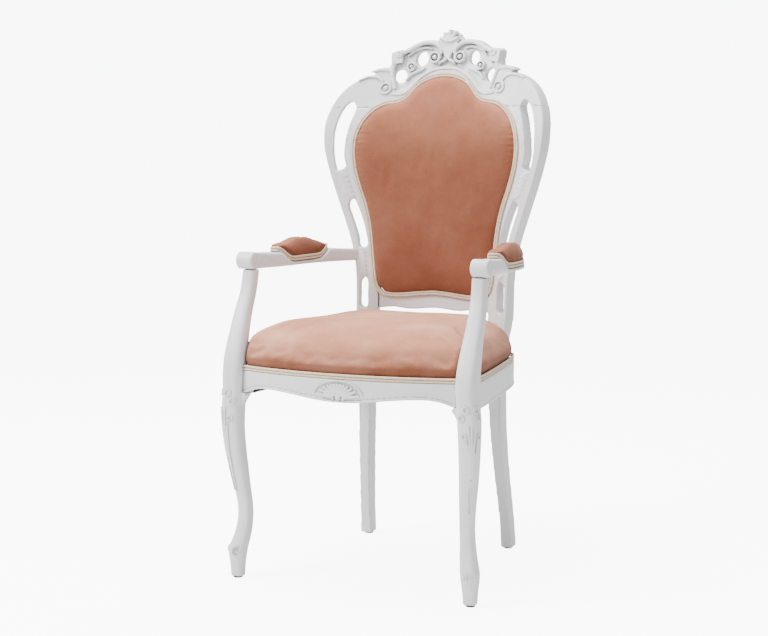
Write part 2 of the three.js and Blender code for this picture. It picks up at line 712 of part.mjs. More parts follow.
// Upholstery
function seatOutline(distance) {
  const front = [0, 0.25, 0.5, 0.75].map((share) => {
    const x = share * 232;
    return new THREE.Vector2(x, frontBow(x));
  });
  const side = SEAT_SIDE.filter((_, i) => i > 0 && i < SIDE_STEPS);
  const corner = [new THREE.Vector2(238, 8), new THREE.Vector2(254.5, 30)];
  const right = [...front, ...corner, ...side, new THREE.Vector2(120, SEAT_REAR)];
  const left = right.slice(1).reverse().map((p) => new THREE.Vector2(-p.x, p.y));
  return inset([...right, new THREE.Vector2(0, SEAT_REAR), ...left], distance);
}

function seatPad() {
  const profile = [
    [5.6, 429.8], [5.4, 437.5], [3.5, 447], [5.5, 462], [11, 475], [24, 490.5], [44, 503], [85, 513.5],
    [140, 519],
  ];
  const outline = seatOutline(0);
  const centre = new THREE.Vector2(0, 205);
  const rings = profile.map(([distance, z]) => {
    const ring = distance <= 12 ? inset(outline, distance) : outline.map((p) => {
      const away = new THREE.Vector2().subVectors(p, centre);
      return centre.clone().addScaledVector(away, 1 - distance / away.length());
    });
    return ring.map((p) => new THREE.Vector3(p.x, p.y, z));
  });
  const leg = frontLegClearance(420, 560, SOFT_ROOM);
  const stile = stileClearance(400, 560, SOFT_ROOM);
  return cut(loft(rings), leg, mirrored(leg), stile, mirrored(stile));
}

// Braid with two cords, along a path in space: one flat side against the wood
function gimpStrip(path, outward, height, proud) {
  const rings = path.map((p, i) => {
    const out = outward(i);
    const section = [[0, 0], [proud, 0.1], [proud * 0.6, 0.5], [proud, 0.9], [0, 1]];
    return section.map(([across, up]) => new THREE.Vector3(
      p.x + out.x * across,
      p.y + out.y * across,
      p.z + up * height,
    ));
  });
  return loft(rings);
}

function seatGimp(pairs, count) {
  const path = curveThrough(pairs, count);
  const middle = path.map((p) => new THREE.Vector3(p.x, p.y, RAIL_TOP + GAP));
  const outward = (i) => {
    const before = path[Math.max(i - 1, 0)];
    const after = path[Math.min(i + 1, path.length - 1)];
    const along = new THREE.Vector2().subVectors(after, before).normalize();
    return new THREE.Vector2(along.y, -along.x);
  };
  const leg = frontLegClearance(415, 450, SOFT_ROOM);
  const stile = stileClearance(400, 460);
  return cut(gimpStrip(middle, outward, GIMP_HEIGHT, GIMP_PROUD), leg, mirrored(leg), stile, mirrored(stile));
}

function frontGimp() {
  const xs = [-230, -180, -120, -60, 0, 60, 120, 180, 230];
  return seatGimp(xs.map((x) => [x, frontBow(x) + GIMP_PROUD]), 14);
}

function sideGimp() {
  return seatGimp(inset(SEAT_SIDE, GIMP_PROUD, true).map((p) => [p.x, p.y]), SIDE_STEPS);
}

function rearGimp() {
  return seatGimp([[140, 426.6], [0, 426.6], [-140, 426.6]], 2);
}

function webbing(across, at) {
  const [reach0, reach1] = across ? [-190, 190] : [10, 415];
  const half = WEBBING_WIDTH / 2;
  return across
    ? box(reach0, reach1, at - half, at + half, RAIL_TOP + GAP, RAIL_TOP + GAP + WEBBING_THICKNESS)
    : box(at - half, at + half, reach0, reach1, RAIL_TOP + 2 * GAP + WEBBING_THICKNESS,
      RAIL_TOP + 2 * GAP + 2 * WEBBING_THICKNESS);
}

// Inner edge of the seat frame in plan, moved inwards by a distance
function frameInside(distance) {
  const front = [0, 75, 150, 200, 224].map((x) => new THREE.Vector2(x, frontBow(x) + RAIL_THICKNESS));
  const side = inset(SEAT_SIDE, RAIL_THICKNESS, true).filter((p) => p.y > 34 && p.y < 400);
  const right = [...front, ...side, new THREE.Vector2(130, 409.5)];
  const left = right.slice(1).reverse().map((p) => new THREE.Vector2(-p.x, p.y));
  return inset([...right, new THREE.Vector2(0, 409.5), ...left], distance);
}

// Black cloth under the seat, turned down over the inner faces of the side rails
function dustCover() {
  const slab = (distance, z0, z1) => {
    const shape = new THREE.Shape(frameInside(distance));
    return new THREE.ExtrudeGeometry(shape, { depth: z1 - z0, bevelEnabled: false }).translate(0, 0, z0);
  };
  const [low, high] = [SIDE_RAIL_BOTTOM - 2, DUST_COVER_Z - CLOTH_THICKNESS];
  const tray = cut(
    slab(GAP, SIDE_RAIL_BOTTOM + 1, DUST_COVER_Z),
    slab(GAP + CLOTH_THICKNESS, low, high),
    box(-300, 300, -60, 46, low, high),
    box(-155, 155, 300, 500, low, high),
  );
  const leg = frontLegClearance(365, 435);
  const stile = stileClearance(365, 435, SOFT_ROOM);
  const rail = sideBand(RAIL_THICKNESS + GAP, 360, 430);
  return cut(tray, leg, mirrored(leg), stile, mirrored(stile), rail, mirrored(rail));
}

// A pad whose rings shrink towards the middle of the back panel
function panelLoft(profile) {
  const centre = new THREE.Vector2(0, 790);
  const outline = panelOutline(0);
  const rings = profile.map(([distance, t]) => {
    const ring = distance <= 12 ? inset(outline, distance) : outline.map((p) => {
      const away = new THREE.Vector2().subVectors(p, centre);
      return centre.clone().addScaledVector(away, 1 - distance / away.length());
    });
    return ring.map((p) => new THREE.Vector3(p.x, p.y, t));
  });
  return wrap(loft(rings), SOFT_TOLERANCE);
}

function backPad() {
  return panelLoft([
    [110, 13], [60, 13], [5.4, 13], [5.4, 0.3], [10.2, -0.2], [11.5, -7], [30, -13.5], [75, -18], [130, -20],
  ]);
}

function outsideBack() {
  return panelLoft([[110, 13.4], [60, 13.4], [5.4, 13.4], [5.4, 24], [50, 27], [110, 27.5]]);
}

function backGimp(front) {
  const outline = panelOutline(0);
  const lift = front ? -1 : 1;
  const base = front ? -1.2 : 1.2;
  const section = [[0.4, 0], [1.4, 3.8], [5, 2.4], [8.6, 3.8], [9.7, 0]];
  const rings = section.map(([distance, rise]) => inset(outline, distance).map((p) => {
    const surface = front ? 0 : STILE_THICKNESS;
    return new THREE.Vector3(p.x, p.y, surface + base + lift * rise);
  }));
  return wrap(loft(rings, true), SOFT_TOLERANCE);
}

// Arms
const ARM_PATH = tableCurve([
  [67, 251.5, 620.9, 656, 18.5], [100, 249.5, 620.8, 653, 18.5], [130, 245, 620.6, 651, 19.5],
  [160, 240.5, 620.3, 650, 20.5], [172, 239.4, 620.2, 645, 21], [186, 238.4, 620.1, 635, 21.5],
  [202, 238, 620, 629, 22], [250, 237.5, 619.5, 628.5, 22], [300, 232, 619, 628.5, 21.5],
  [322, 226.5, 618.8, 630, 20], [336, 222, 618.6, 637, 18.5], [352, 216.5, 618.4, 647, 16.5],
  [395, 200, 617.8, 645, 13.5], [440, 181, 617.4, 642.5, 12.5],
]);

function armSection(y) {
  const [x, low, high, half] = ARM_PATH(y);
  const [xBefore] = ARM_PATH(y - 2);
  const [xAfter] = ARM_PATH(y + 2);
  const along = new THREE.Vector2(xAfter - xBefore, 4).normalize();
  const across = new THREE.Vector2(along.y, -along.x);
  return { centre: new THREE.Vector2(x, y), across, low, high, half };
}

function armPoint({ centre, across }, side, z) {
  return new THREE.Vector3(centre.x + across.x * side, centre.y + across.y * side, z);
}

function armBody() {
  const stations = [67, 100, 130, 160, 172, 186, 202, 250, 300, 322, 336, 352, 395, 440];
  const rings = stations.map((y) => {
    const station = armSection(y);
    const { low, high, half } = station;
    const rise = high - low;
    const section = [[-0.7, 0], [0.5, 0], [1, 0.3], [1, 0.85], [0.8, 1], [-0.8, 1], [-1, 0.85], [-1, 0.2]];
    return section.map(([side, up]) => armPoint(station, side * half, low + rise * up));
  });
  return loft(rings);
}

function arm() {
  const roll = new THREE.CylinderGeometry(ARM_BLOCK_RADIUS, ARM_BLOCK_RADIUS, ARM_BLOCK_WIDTH, 16);
  const eye = new THREE.CylinderGeometry(4.5, 4.5, ARM_BLOCK_WIDTH + 3, 8);
  roll.rotateZ(Math.PI / 2).translate(251.5, 68, 638.6);
  eye.rotateZ(Math.PI / 2).translate(251.5, 83, 640);
  return cut(join(armBody(), roll, eye), stileClearance(600, 670));
}

// One closed ring round the arm pad: inset from its edge, a fixed lift, and a dome that fades to the ends
function armPadRing(distance, lift, dome) {
  const count = 9;
  const shift = dome > 0 ? distance : 0;
  const [start, end] = [ARM_PAD_START + shift, ARM_PAD_END - shift];
  const side = (sign) => Array.from({ length: count }, (_, i) => {
    const share = (i + 0.5) / count;
    const y = start + (end - start) * (0.5 - 0.5 * Math.cos(Math.PI * share));
    const station = armSection(y);
    const round = Math.sin(Math.PI * share);
    const width = (station.half + 0.8 - shift) * round ** 0.5;
    return armPoint(station, sign * width, station.high + ARM_PAD_ROOM + lift + dome * round ** 0.8);
  });
  const ring = [...side(1), ...side(-1).reverse()];
  return inset(ring, distance - shift).map((p, i) => new THREE.Vector3(p.x, p.y, ring[i].z));
}

function armGimp() {
  const section = [[4, 0], [0, 0], [-1.6, 0.25], [0, 0.5], [-1.6, 0.75], [0, 1], [4, 1]];
  return loft(section.map(([distance, up]) => armPadRing(distance, up * ARM_GIMP_HEIGHT, 0)), true);
}

function armPad() {
  const lift = ARM_GIMP_HEIGHT + 3 * GAP;
  const profile = [
    [5.6, 0, 0], [5.6, lift, 0], [1.5, lift, 0], [0, lift, 7],
    [2.5, lift, 17], [8, lift, 26], [15, lift, 32.5],
  ];
  return loft(profile.map(([distance, up, dome]) => armPadRing(distance, up, dome)));
}

// Corner blocks inside the seat frame
function cornerBlock(corner) {
  const shape = new THREE.Shape(corner.map(([x, y]) => new THREE.Vector2(x, y)));
  const block = new THREE.ExtrudeGeometry(shape, { depth: 20, bevelEnabled: false }).translate(0, 0, 398);
  return cut(block, sideBand(RAIL_THICKNESS + GAP, 360, 430), frontLegClearance(365, 435));
}

const FRONT_CORNER = [
  [228, 32.5], [228, 72], [216, 72], [172, 30], [172, frontBow(172) + RAIL_THICKNESS + GAP],
];
const REAR_CORNER = [[104, 409.6], [104, 398], [176, 338], [190, 345], [168, 409.6]];

// Small hardware
function glide(x, y) {
  return new THREE.CylinderGeometry(GLIDE_RADIUS, GLIDE_RADIUS, GLIDE_HEIGHT, 12)
    .rotateX(Math.PI / 2).translate(x, y, GLIDE_HEIGHT / 2);
}

// Materials
const paint = () => new THREE.MeshStandardMaterial({ color: 0xe4e2e6, roughness: 0.45, metalness: 0 });
const suede = () => new THREE.MeshStandardMaterial({ color: 0xc08468, roughness: 0.95, metalness: 0 });
const braid = () => new THREE.MeshStandardMaterial({ color: 0xe6d9c4, roughness: 0.85, metalness: 0 });
const beech = () => new THREE.MeshStandardMaterial({ color: 0xc9a77c, roughness: 0.7, metalness: 0 });
const jute = () => new THREE.MeshStandardMaterial({ color: 0xa98d63, roughness: 0.95, metalness: 0 });
const blackCloth = () => new THREE.MeshStandardMaterial({ color: 0x161618, roughness: 0.95, metalness: 0 });
const nylon = () => new THREE.MeshStandardMaterial({ color: 0x1c1c1e, roughness: 0.6, metalness: 0 });

const chair = new THREE.Group();

function add(name, geometry, material) {
  const mesh = new THREE.Mesh(geometry, material);
  mesh.name = name;
  chair.add(mesh);
  return mesh;
}

function addPair(name, geometry, material) {
  add(`${name}_right`, geometry, material());
  add(`${name}_left`, mirrored(geometry), material());
}

addPair('front_leg', frontLeg(), paint);
addPair('rear_stile', rearStile(), paint);
add('crest_rail', crestRail(), paint());
add('back_lower_rail', lowerBackRail(), paint());
add('front_seat_rail', frontRail(), paint());
addPair('side_seat_rail', sideRail(), paint);
add('rear_seat_rail', rearRail(), paint());
addPair('arm', arm(), paint);
add('seat_pad', seatPad(), suede());
add('seat_gimp_front', frontGimp(), braid());
addPair('seat_gimp_side', sideGimp(), braid);
add('seat_gimp_rear', rearGimp(), braid());
add('back_pad', backPad(), suede());
add('outside_back_panel', outsideBack(), suede());
add('back_gimp_front', backGimp(true), braid());
add('back_gimp_rear', backGimp(false), braid());
addPair('arm_pad', armPad(), suede);
addPair('arm_gimp', armGimp(), braid);
[120, 210, 300].forEach((y, i) => add(`webbing_cross_${i + 1}`, webbing(true, y), jute()));
[-105, 0, 105].forEach((x, i) => add(`webbing_long_${i + 1}`, webbing(false, x), jute()));
add('dust_cover', dustCover(), blackCloth());
addPair('front_corner_block', cornerBlock(FRONT_CORNER), beech);
addPair('rear_corner_block', cornerBlock(REAR_CORNER), beech);
addPair('front_glide', glide(252, 18.6), nylon);
addPair('rear_glide', glide(166, 464.5), nylon);

const bounds = new THREE.Box3().setFromObject(chair);
const middle = bounds.getCenter(new THREE.Vector3());
chair.children.forEach((mesh) => mesh.geometry.translate(-middle.x, -middle.y, -bounds.min.z));

export default chair;
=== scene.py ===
"""Carved, white painted open armchair with suede upholstery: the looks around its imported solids.

Drawings are in millimetres, in the same coordinates as the solids before they were centred: +Z up,
+Y towards the back. The back frame is drawn flat, as (across, height, depth), and bent afterwards.
"""

import math

import bmesh
import bpy
import numpy as np
from mathutils import Matrix, Vector
from mathutils.geometry import tessellate_polygon


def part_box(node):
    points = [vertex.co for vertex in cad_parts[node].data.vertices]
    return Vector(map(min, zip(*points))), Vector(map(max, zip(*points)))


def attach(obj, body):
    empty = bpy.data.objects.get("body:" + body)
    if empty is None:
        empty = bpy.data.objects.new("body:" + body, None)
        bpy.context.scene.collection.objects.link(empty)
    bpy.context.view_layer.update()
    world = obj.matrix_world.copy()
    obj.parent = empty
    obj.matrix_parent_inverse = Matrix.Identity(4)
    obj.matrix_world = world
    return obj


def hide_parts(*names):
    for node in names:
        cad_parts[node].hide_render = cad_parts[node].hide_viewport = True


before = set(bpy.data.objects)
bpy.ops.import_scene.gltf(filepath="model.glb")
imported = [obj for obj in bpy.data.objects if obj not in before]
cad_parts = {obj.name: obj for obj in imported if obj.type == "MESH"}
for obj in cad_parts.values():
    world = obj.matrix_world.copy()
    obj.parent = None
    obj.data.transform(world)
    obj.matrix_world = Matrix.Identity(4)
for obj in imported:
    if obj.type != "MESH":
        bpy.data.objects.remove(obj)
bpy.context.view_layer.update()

MM = 0.001
GLIDE_Y = 18.6

# How far centring moved the solids along Y, read off a glide whose drawn place is known
glide_low, glide_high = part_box("front_glide_right")
CENTRING = (glide_low[1] + glide_high[1]) / 2 / MM - GLIDE_Y

# Sizes shared with the solids, in millimetres
GAP = 0.3
LEG_BOTTOM, LEG_TOP = 3.3, 620.4
RAIL_BOTTOM, SIDE_RAIL_BOTTOM, RAIL_TOP, RAIL_THICKNESS = 381.0, 373.0, 425.6, 27.0
FRONT_BOW, FRONT_BOW_HALF, FRONT_SET_BACK, FRONT_RAIL_REACH = 36.0, 223.0, 2.0, 236.0
FRONT_RAIL_ARCH, FRONT_ARCH_AT, FRONT_ARCH_FALL = 12.5, 168.0, 0.32
BACK_Y, LOWER_LEAN, UPPER_LEAN, LEAN_ROUNDING = 437.0, 0.055, 0.32, 4.0
LEAN_FROM_Z, LEAN_CHANGE_Z = 450.0, 900.0
LEG_TO_BACK_Z = (430, 520)
PLAN_CURVE = 0.0008
COVER_OVER_WOOD = 5
STILE_THICKNESS, CREST_THICKNESS, CREST_RECESS, CREST_JOINT_Z = 28.0, 27.0, 7.0, 950.0
LOWER_RAIL_END = 127.0
ARM_START, ARM_END = 67, 436
ARM_PAD_START, ARM_PAD_END, ARM_PAD_ROOM = 160.0, 352.0, 1.0
GIMP_PROUD = 4.6

# Cords: twist in radians and the rest in millimetres
CORD_RADIUS, CORD_STEP, CORD_SIDES, CORD_TWIST = 2.5, 1.7, 8, 0.9
SEAT_CORD_LIFTS = (2.6, 7.8)

# Voxels of the carved skins, in millimetres, and the share of the faces that those above SHARP keep
SHARP, CRISP, FINE, MEDIUM, COARSE = 1.1, 1.3, 1.7, 2.1, 3.0
KEPT_SHARE = 0.6

# Incised line round the back's upholstery, in millimetres
GROOVE_OUT, GROOVE_DEPTH, GROOVE_WIDTH, GROOVE_FROM_Z, FRONT_FACE_DEPTH = 9.5, 1.3, 1.9, 560, 8

# Where the toe's scroll sits, and how the knee's carving follows the leg's rounded section
TOE_PLACE = (255.4, 9.9, 58)
KNEE_TURN, KNEE_POWER = 0.22, 3.3

# Cushions: inflation, and heights and widths over which the cloth is let go, in millimetres
CLOTH_FRAMES, CLOTH_PRESSURE = 20, 4
SEAT_HELD_TO, SEAT_FREE_FROM = 440.0, 462.0
BACK_EDGE_IN, BACK_HELD_TO, BACK_FREE_FROM = 9, 6, 26
ARM_HELD_TO, ARM_FREE_FROM = 14, 26

# The studio: glows as (strength on the chair, strength seen by the camera)
FLOOR_HALF = 9000
FLOOR_GLOW, WORLD_GLOW = (0.1, 8.0), (0.8, 9.0)
LAMPS_AIM = (0, 0, 0.55)

# The photo's camera, in metres and degrees, solved from points matched on both sides of the chair
LENS, SENSOR_WIDTH = 74.51, 36
CAMERA_X, CAMERA_Y, CAMERA_Z, CAMERA_TILT, CAMERA_TURN = 1.3136, -2.7241, 0.8706, 83.763, 24.351


# Curves
def smooth_path(pairs, count):
    """Evenly spaced points along a smooth curve through given points."""
    points = np.array(pairs, float)
    steps = np.sqrt(np.linalg.norm(np.diff(points, axis=0), axis=1))
    knots = np.concatenate([[0], np.cumsum(steps)])
    tangents = np.gradient(points, knots, axis=0)
    fine = hermite(knots, points, tangents, np.linspace(0, knots[-1], 24 * len(points)))
    lengths = np.concatenate([[0], np.cumsum(np.linalg.norm(np.diff(fine, axis=0), axis=1))])
    wanted = np.linspace(0, lengths[-1], count + 1)
    return np.stack([np.interp(wanted, lengths, fine[:, k]) for k in range(points.shape[1])], axis=1)


def hermite(knots, values, slopes, at):
    """Cubic curve through values at knots, with a slope given at each."""
    i = np.clip(np.searchsorted(knots, at) - 1, 0, len(knots) - 2)
    span = (knots[i + 1] - knots[i])[:, None]
    t = np.clip((at - knots[i])[:, None] / span, 0, 1)
    return ((2 * t**3 - 3 * t**2 + 1) * values[i] + (t**3 - 2 * t**2 + t) * slopes[i] * span
            + (3 * t**2 - 2 * t**3) * values[i + 1] + (t**3 - t**2) * slopes[i + 1] * span)


def table(rows):
    """Smooth values read off rows of (key, value...), ordered by key."""
    rows = np.array(rows, float)
    keys, values = rows[:, 0], rows[:, 1:]
    before = np.maximum(np.arange(len(keys)) - 1, 0)
    after = np.minimum(np.arange(len(keys)) + 1, len(keys) - 1)
    slopes = (values[after] - values[before]) / (keys[after] - keys[before])[:, None]
    return lambda key: hermite(keys, values, slopes, np.atleast_1d(np.asarray(key, float)))


def smoothstep(value, low, high):
    """Eased share, 0 up to low and 1 from high on."""
    t = np.clip((value - low) / (high - low), 0, 1)
    return t * t * (3 - 2 * t)


def offset(path, distance, closed=False):
    """Moves a path in its plane to its left, which is inwards on a counter-clockwise outline."""
    if closed:
        along = np.roll(path, -1, axis=0) - np.roll(path, 1, axis=0)
    else:
        along = np.gradient(path, axis=0)
    along /= np.linalg.norm(along, axis=1)[:, None]
    return path + np.stack([-along[:, 1], along[:, 0]], axis=1) * distance


def distance_to(line, x, z):
    """How far each point is from the nearest spot of a line."""
    gaps = np.full(len(x), 1e9)
    for spot_x, spot_z in line:
        gaps = np.minimum(gaps, np.hypot(x - spot_x, z - spot_z))
    return gaps


def ellipse(cx, cy, rx, ry, turn, count=32):
    """Points round an ellipse turned by an angle."""
    angle = np.linspace(0, 2 * math.pi, count, endpoint=False)
    x, y = rx * np.cos(angle), ry * np.sin(angle)
    return np.stack([cx + x * math.cos(turn) - y * math.sin(turn),
                     cy + x * math.sin(turn) + y * math.cos(turn)], axis=1)


def spiral(cx, cy, start_radius, end_radius, start_angle, turns, count):
    """Points along a spiral round a centre."""
    share = np.linspace(0, 1, count + 1)
    radius = start_radius + (end_radius - start_radius) * share
    angle = start_angle + turns * 2 * math.pi * share
    return np.stack([cx + radius * np.cos(angle), cy + radius * np.sin(angle)], axis=1).tolist()


# Closed parts, each a pair of points and faces
def loft(rings, closed=False):
    """Skin over rings of points, capped at its two ends unless it closes on itself."""
    rings = np.array(rings, float)
    spans, count = len(rings), rings.shape[1]
    faces = []
    for i in range(spans if closed else spans - 1):
        a, b = i * count, ((i + 1) % spans) * count
        for j in range(count):
            k = (j + 1) % count
            faces.append((a + j, a + k, b + k, b + j))
    if not closed:
        faces.append(tuple(reversed(range(count))))
        faces.append(tuple(range((spans - 1) * count, spans * count)))
    return rings.reshape(-1, 3), faces


def board(outline, holes, front, back):
    """Flat outline with holes, as thick as from its front to its back depth."""
    loops = [np.array(loop, float) for loop in (outline, *holes)]
    triangles = tessellate_polygon([[Vector((x, y, 0)) for x, y in loop] for loop in loops])
    flat = np.concatenate(loops)
    count = len(flat)
    points = np.concatenate([np.c_[flat, np.full(count, front)], np.c_[flat, np.full(count, back)]])
    faces = [tuple(t) for t in triangles] + [tuple(count + i for i in reversed(t)) for t in triangles]
    start = 0
    for loop in loops:
        for i in range(len(loop)):
            a, b = start + i, start + (i + 1) % len(loop)
            faces.append((a, b, count + b, count + a))
        start += len(loop)
    return points, faces


def bar(pairs, widths, front, back, stations=None):
    """Carved bar along a flat path, half round on its front and tapering by its widths."""
    stations = stations or 8 * len(pairs)
    path = smooth_path(pairs, stations)
    share = np.linspace(0, 1, stations + 1)
    half = table([(i / (len(widths) - 1), w) for i, w in enumerate(widths)])(share)[:, 0] / 2
    along = np.gradient(path, axis=0)
    along /= np.linalg.norm(along, axis=1)[:, None]
    rings = []
    for p, a, h in zip(path, along, half):
        shoulder = front + min(h * 0.9, (back - front) * 0.5)
        angles = np.linspace(math.pi, 0, 9)
        sides = [(math.cos(t), shoulder - math.sin(t) * (shoulder - front)) for t in angles]
        sides += [(1, back), (-1, back)]
        rings.append([(p[0] - a[1] * s * h, p[1] + a[0] * s * h, t) for s, t in sides])
    return loft(rings)


def dome(cx, cy, radius, front, back):
    """Round boss with a softly domed front."""
    angles = np.linspace(0, 2 * math.pi, 24, endpoint=False)
    rings = [[(cx + radius * k * math.cos(a), cy + radius * k * math.sin(a), t) for a in angles]
             for k, t in ((1, back), (1, front + radius * 0.45), (0.8, front + radius * 0.15), (0.4, front))]
    return loft(rings)


def mirror(part):
    """The same part on the chair's other side."""
    points, faces = part
    return points * (-1, 1, 1), [tuple(reversed(f)) for f in faces]


SIDES = (("right", lambda part: part), ("left", mirror))


def turned(part, matrix, place):
    """A part turned about the origin, then moved to its place."""
    points, faces = part
    return points @ np.array(matrix).T + np.array(place), faces


def merged(parts):
    """Several parts as one pair of points and faces."""
    points = np.concatenate([p for p, _ in parts])
    starts = np.cumsum([0] + [len(p) for p, _ in parts[:-1]])
    faces = [tuple(i + start for i in face) for (_, fs), start in zip(parts, starts) for face in fs]
    return points, faces


def rounded_square(cx, cy, z, a, b, sides=40, power=0.6):
    """Level ring with flattened sides, a and b being its half widths."""
    angles = np.linspace(0, 2 * math.pi, sides, endpoint=False)
    c, s = np.cos(angles), np.sin(angles)
    return np.stack([cx + a * np.sign(c) * np.abs(c) ** power,
                     cy + b * np.sign(s) * np.abs(s) ** power, np.full(sides, z)], axis=1)


# The curved back
def back_line(z):
    """Y of the back's front face at a height: two leans, rounded where they meet."""
    low = BACK_Y + LOWER_LEAN * (z - LEAN_FROM_Z)
    high = BACK_Y + LOWER_LEAN * (LEAN_CHANGE_Z - LEAN_FROM_Z) + UPPER_LEAN * (z - LEAN_CHANGE_Z)
    return (low + high) / 2 + np.hypot((high - low) / 2, LEAN_ROUNDING)


# Y of the rear leg's front face at each height
LEG_LINE = table([
    [0, 449], [50, 443], [100, 434], [150, 425.5], [200, 418.5], [250, 414], [300, 411.5], [380, 411],
    [430, 412.5], [540, 418],
])


def wrap(points):
    """Bends flat drawings onto the leaning and curved back, and onto the rear leg's line below it."""
    s, z, t = points.T
    upper = smoothstep(z, *LEG_TO_BACK_Z)
    slope = -2 * PLAN_CURVE * s * upper
    length = np.hypot(1, slope)
    front = upper * (back_line(z) - PLAN_CURVE * s * s) + (1 - upper) * LEG_LINE(z)[:, 0]
    return np.stack([s - t * slope / length, front + t / length, z], axis=1)


# Blender objects
def linked(name, data):
    """New object in the scene."""
    made = bpy.data.objects.new(name, data)
    bpy.context.scene.collection.objects.link(made)
    return made


def mesh_object(name, points, faces):
    mesh = bpy.data.meshes.new(name)
    mesh.from_pydata((points * MM).tolist(), [], faces)
    mesh.update()
    return linked(name, mesh)


def applied(piece):
    """Replaces a piece's mesh by what its modifiers make of it."""
    graph = bpy.context.evaluated_depsgraph_get()
    mesh = bpy.data.meshes.new_from_object(piece.evaluated_get(graph))
    piece.modifiers.clear()
    piece.data = mesh
    return piece


def get_points(mesh):
    """A mesh's points in millimetres."""
    flat = np.empty(len(mesh.vertices) * 3)
    mesh.vertices.foreach_get("co", flat)
    return flat.reshape(-1, 3) / MM


def set_points(mesh, points):
    mesh.vertices.foreach_set("co", (points * MM).ravel())
    mesh.update()


def finish_piece(piece, nodes, material):
    mesh = piece.data
    mesh.materials.clear()
    mesh.materials.append(material)
    mesh.polygons.foreach_set("use_smooth", [True] * len(mesh.polygons))
    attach(piece, "root")
    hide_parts(*nodes)
    return piece


def add_skin(piece, voxel, smooth):
    """Remeshes a piece with voxels and softens its edges, once the modifiers are applied."""
    remesh = piece.modifiers.new("skin", "REMESH")
    remesh.mode = "VOXEL"
    remesh.voxel_size = voxel * MM
    soften = piece.modifiers.new("soften", "SMOOTH")
    soften.factor = 0.5
    soften.iterations = smooth


def carve(name, parts, voxel, smooth, bend=None):
    """One soft-edged skin over overlapping closed parts, bent and centred."""
    piece = mesh_object(name, *merged(parts))
    add_skin(piece, voxel, smooth)
    if voxel > SHARP:
        thin = piece.modifiers.new("thin", "DECIMATE")
        thin.ratio = KEPT_SHARE
    applied(piece)
    moved = get_points(piece.data)
    if bend:
        moved = bend(moved)
    set_points(piece.data, moved + (0, CENTRING, 0))
    return piece


def pair(name, node, parts, voxel, smooth):
    """A painted carved piece and its mirror image, for the nodes of the two sides."""
    for side, change in SIDES:
        piece = carve(f"{name}_{side}_carved", [change(part) for part in parts], voxel, smooth)
        finish_piece(piece, [f"{node}_{side}"], WHITE)


# Materials
def new_material(name, colour, roughness):
    """A plain material with its node tree and its main shader."""
    material = bpy.data.materials.new(name)
    material.use_nodes = True
    shader = material.node_tree.nodes["Principled BSDF"]
    shader.inputs["Base Color"].default_value = (*colour, 1)
    shader.inputs["Roughness"].default_value = roughness
    return material, material.node_tree, shader


def add_node(tree, kind, settings=None, inputs=None):
    """Shader node with some settings, whose inputs are values or other nodes' outputs."""
    made = tree.nodes.new(kind)
    for key, value in (settings or {}).items():
        setattr(made, key, value)
    for key, value in (inputs or {}).items():
        if isinstance(value, bpy.types.NodeSocket):
            tree.links.new(value, made.inputs[key])
        else:
            made.inputs[key].default_value = value
    return made


def noise(tree, scale, detail=3.0, roughness=0.55, stretch=(1, 1, 1)):
    """Cloudy noise in the object's own space."""
    place = add_node(tree, "ShaderNodeTexCoord").outputs["Object"]
    mapping = add_node(tree, "ShaderNodeMapping", inputs={"Vector": place, "Scale": stretch})
    return add_node(tree, "ShaderNodeTexNoise", inputs={
        "Vector": mapping.outputs[0], "Scale": scale, "Detail": detail, "Roughness": roughness,
    }).outputs["Fac"]


def ramp(tree, value, stops):
    """Colours for a value, given as stops of (position, colour)."""
    made = add_node(tree, "ShaderNodeValToRGB", inputs={"Fac": value})
    elements = made.color_ramp.elements
    while len(elements) < len(stops):
        elements.new(0.5)
    for element, (position, colour) in zip(elements, stops):
        element.position = position
        element.color = (*colour, 1)
    return made.outputs["Color"]


def mix(tree, share, a, b, blend="MIX"):
    made = add_node(tree, "ShaderNodeMix", {"data_type": "RGBA", "blend_type": blend})
    for index, value in ((0, share), (6, a), (7, b)):
        if isinstance(value, bpy.types.NodeSocket):
            tree.links.new(value, made.inputs[index])
        elif index == 0:
            made.inputs[index].default_value = value
        else:
            made.inputs[index].default_value = (*value, 1)
    return made.outputs[2]


def bump(tree, shader, height, distance, strength=1.0):
    made = add_node(tree, "ShaderNodeBump", inputs={
        "Height": height, "Distance": distance, "Strength": strength,
    })
    tree.links.new(made.outputs[0], shader.inputs["Normal"])


def painted_wood():
    """White paint over carved wood, with a thin grey patina left in the hollows."""
    material, tree, shader = new_material("white_paint", (0.8, 0.79, 0.81), 0.4)
    cloudy = ramp(tree, noise(tree, 9, 3), [(0.3, (0.69, 0.682, 0.7)), (0.7, (0.76, 0.755, 0.77))])
    hollow = add_node(tree, "ShaderNodeAmbientOcclusion", {"samples": 8}, {"Distance": 0.006})
    depth = ramp(tree, hollow.outputs["AO"], [(0.42, (1, 1, 1)), (0.88, (0, 0, 0))])
    patchy = ramp(tree, noise(tree, 70, 4), [(0.3, (0.45,) * 3), (0.7, (0.95,) * 3)])
    worn = mix(tree, 1.0, depth, patchy, "MULTIPLY")
    tree.links.new(mix(tree, worn, cloudy, (0.27, 0.26, 0.26)), shader.inputs["Base Color"])
    brushed = noise(tree, 90, 3, 0.6, (1, 1, 0.22))
    tree.links.new(ramp(tree, brushed, [(0.3, (0.34,) * 3), (0.7, (0.48,) * 3)]), shader.inputs["Roughness"])
    bump(tree, shader, brushed, 0.0003, 0.5)
    return material


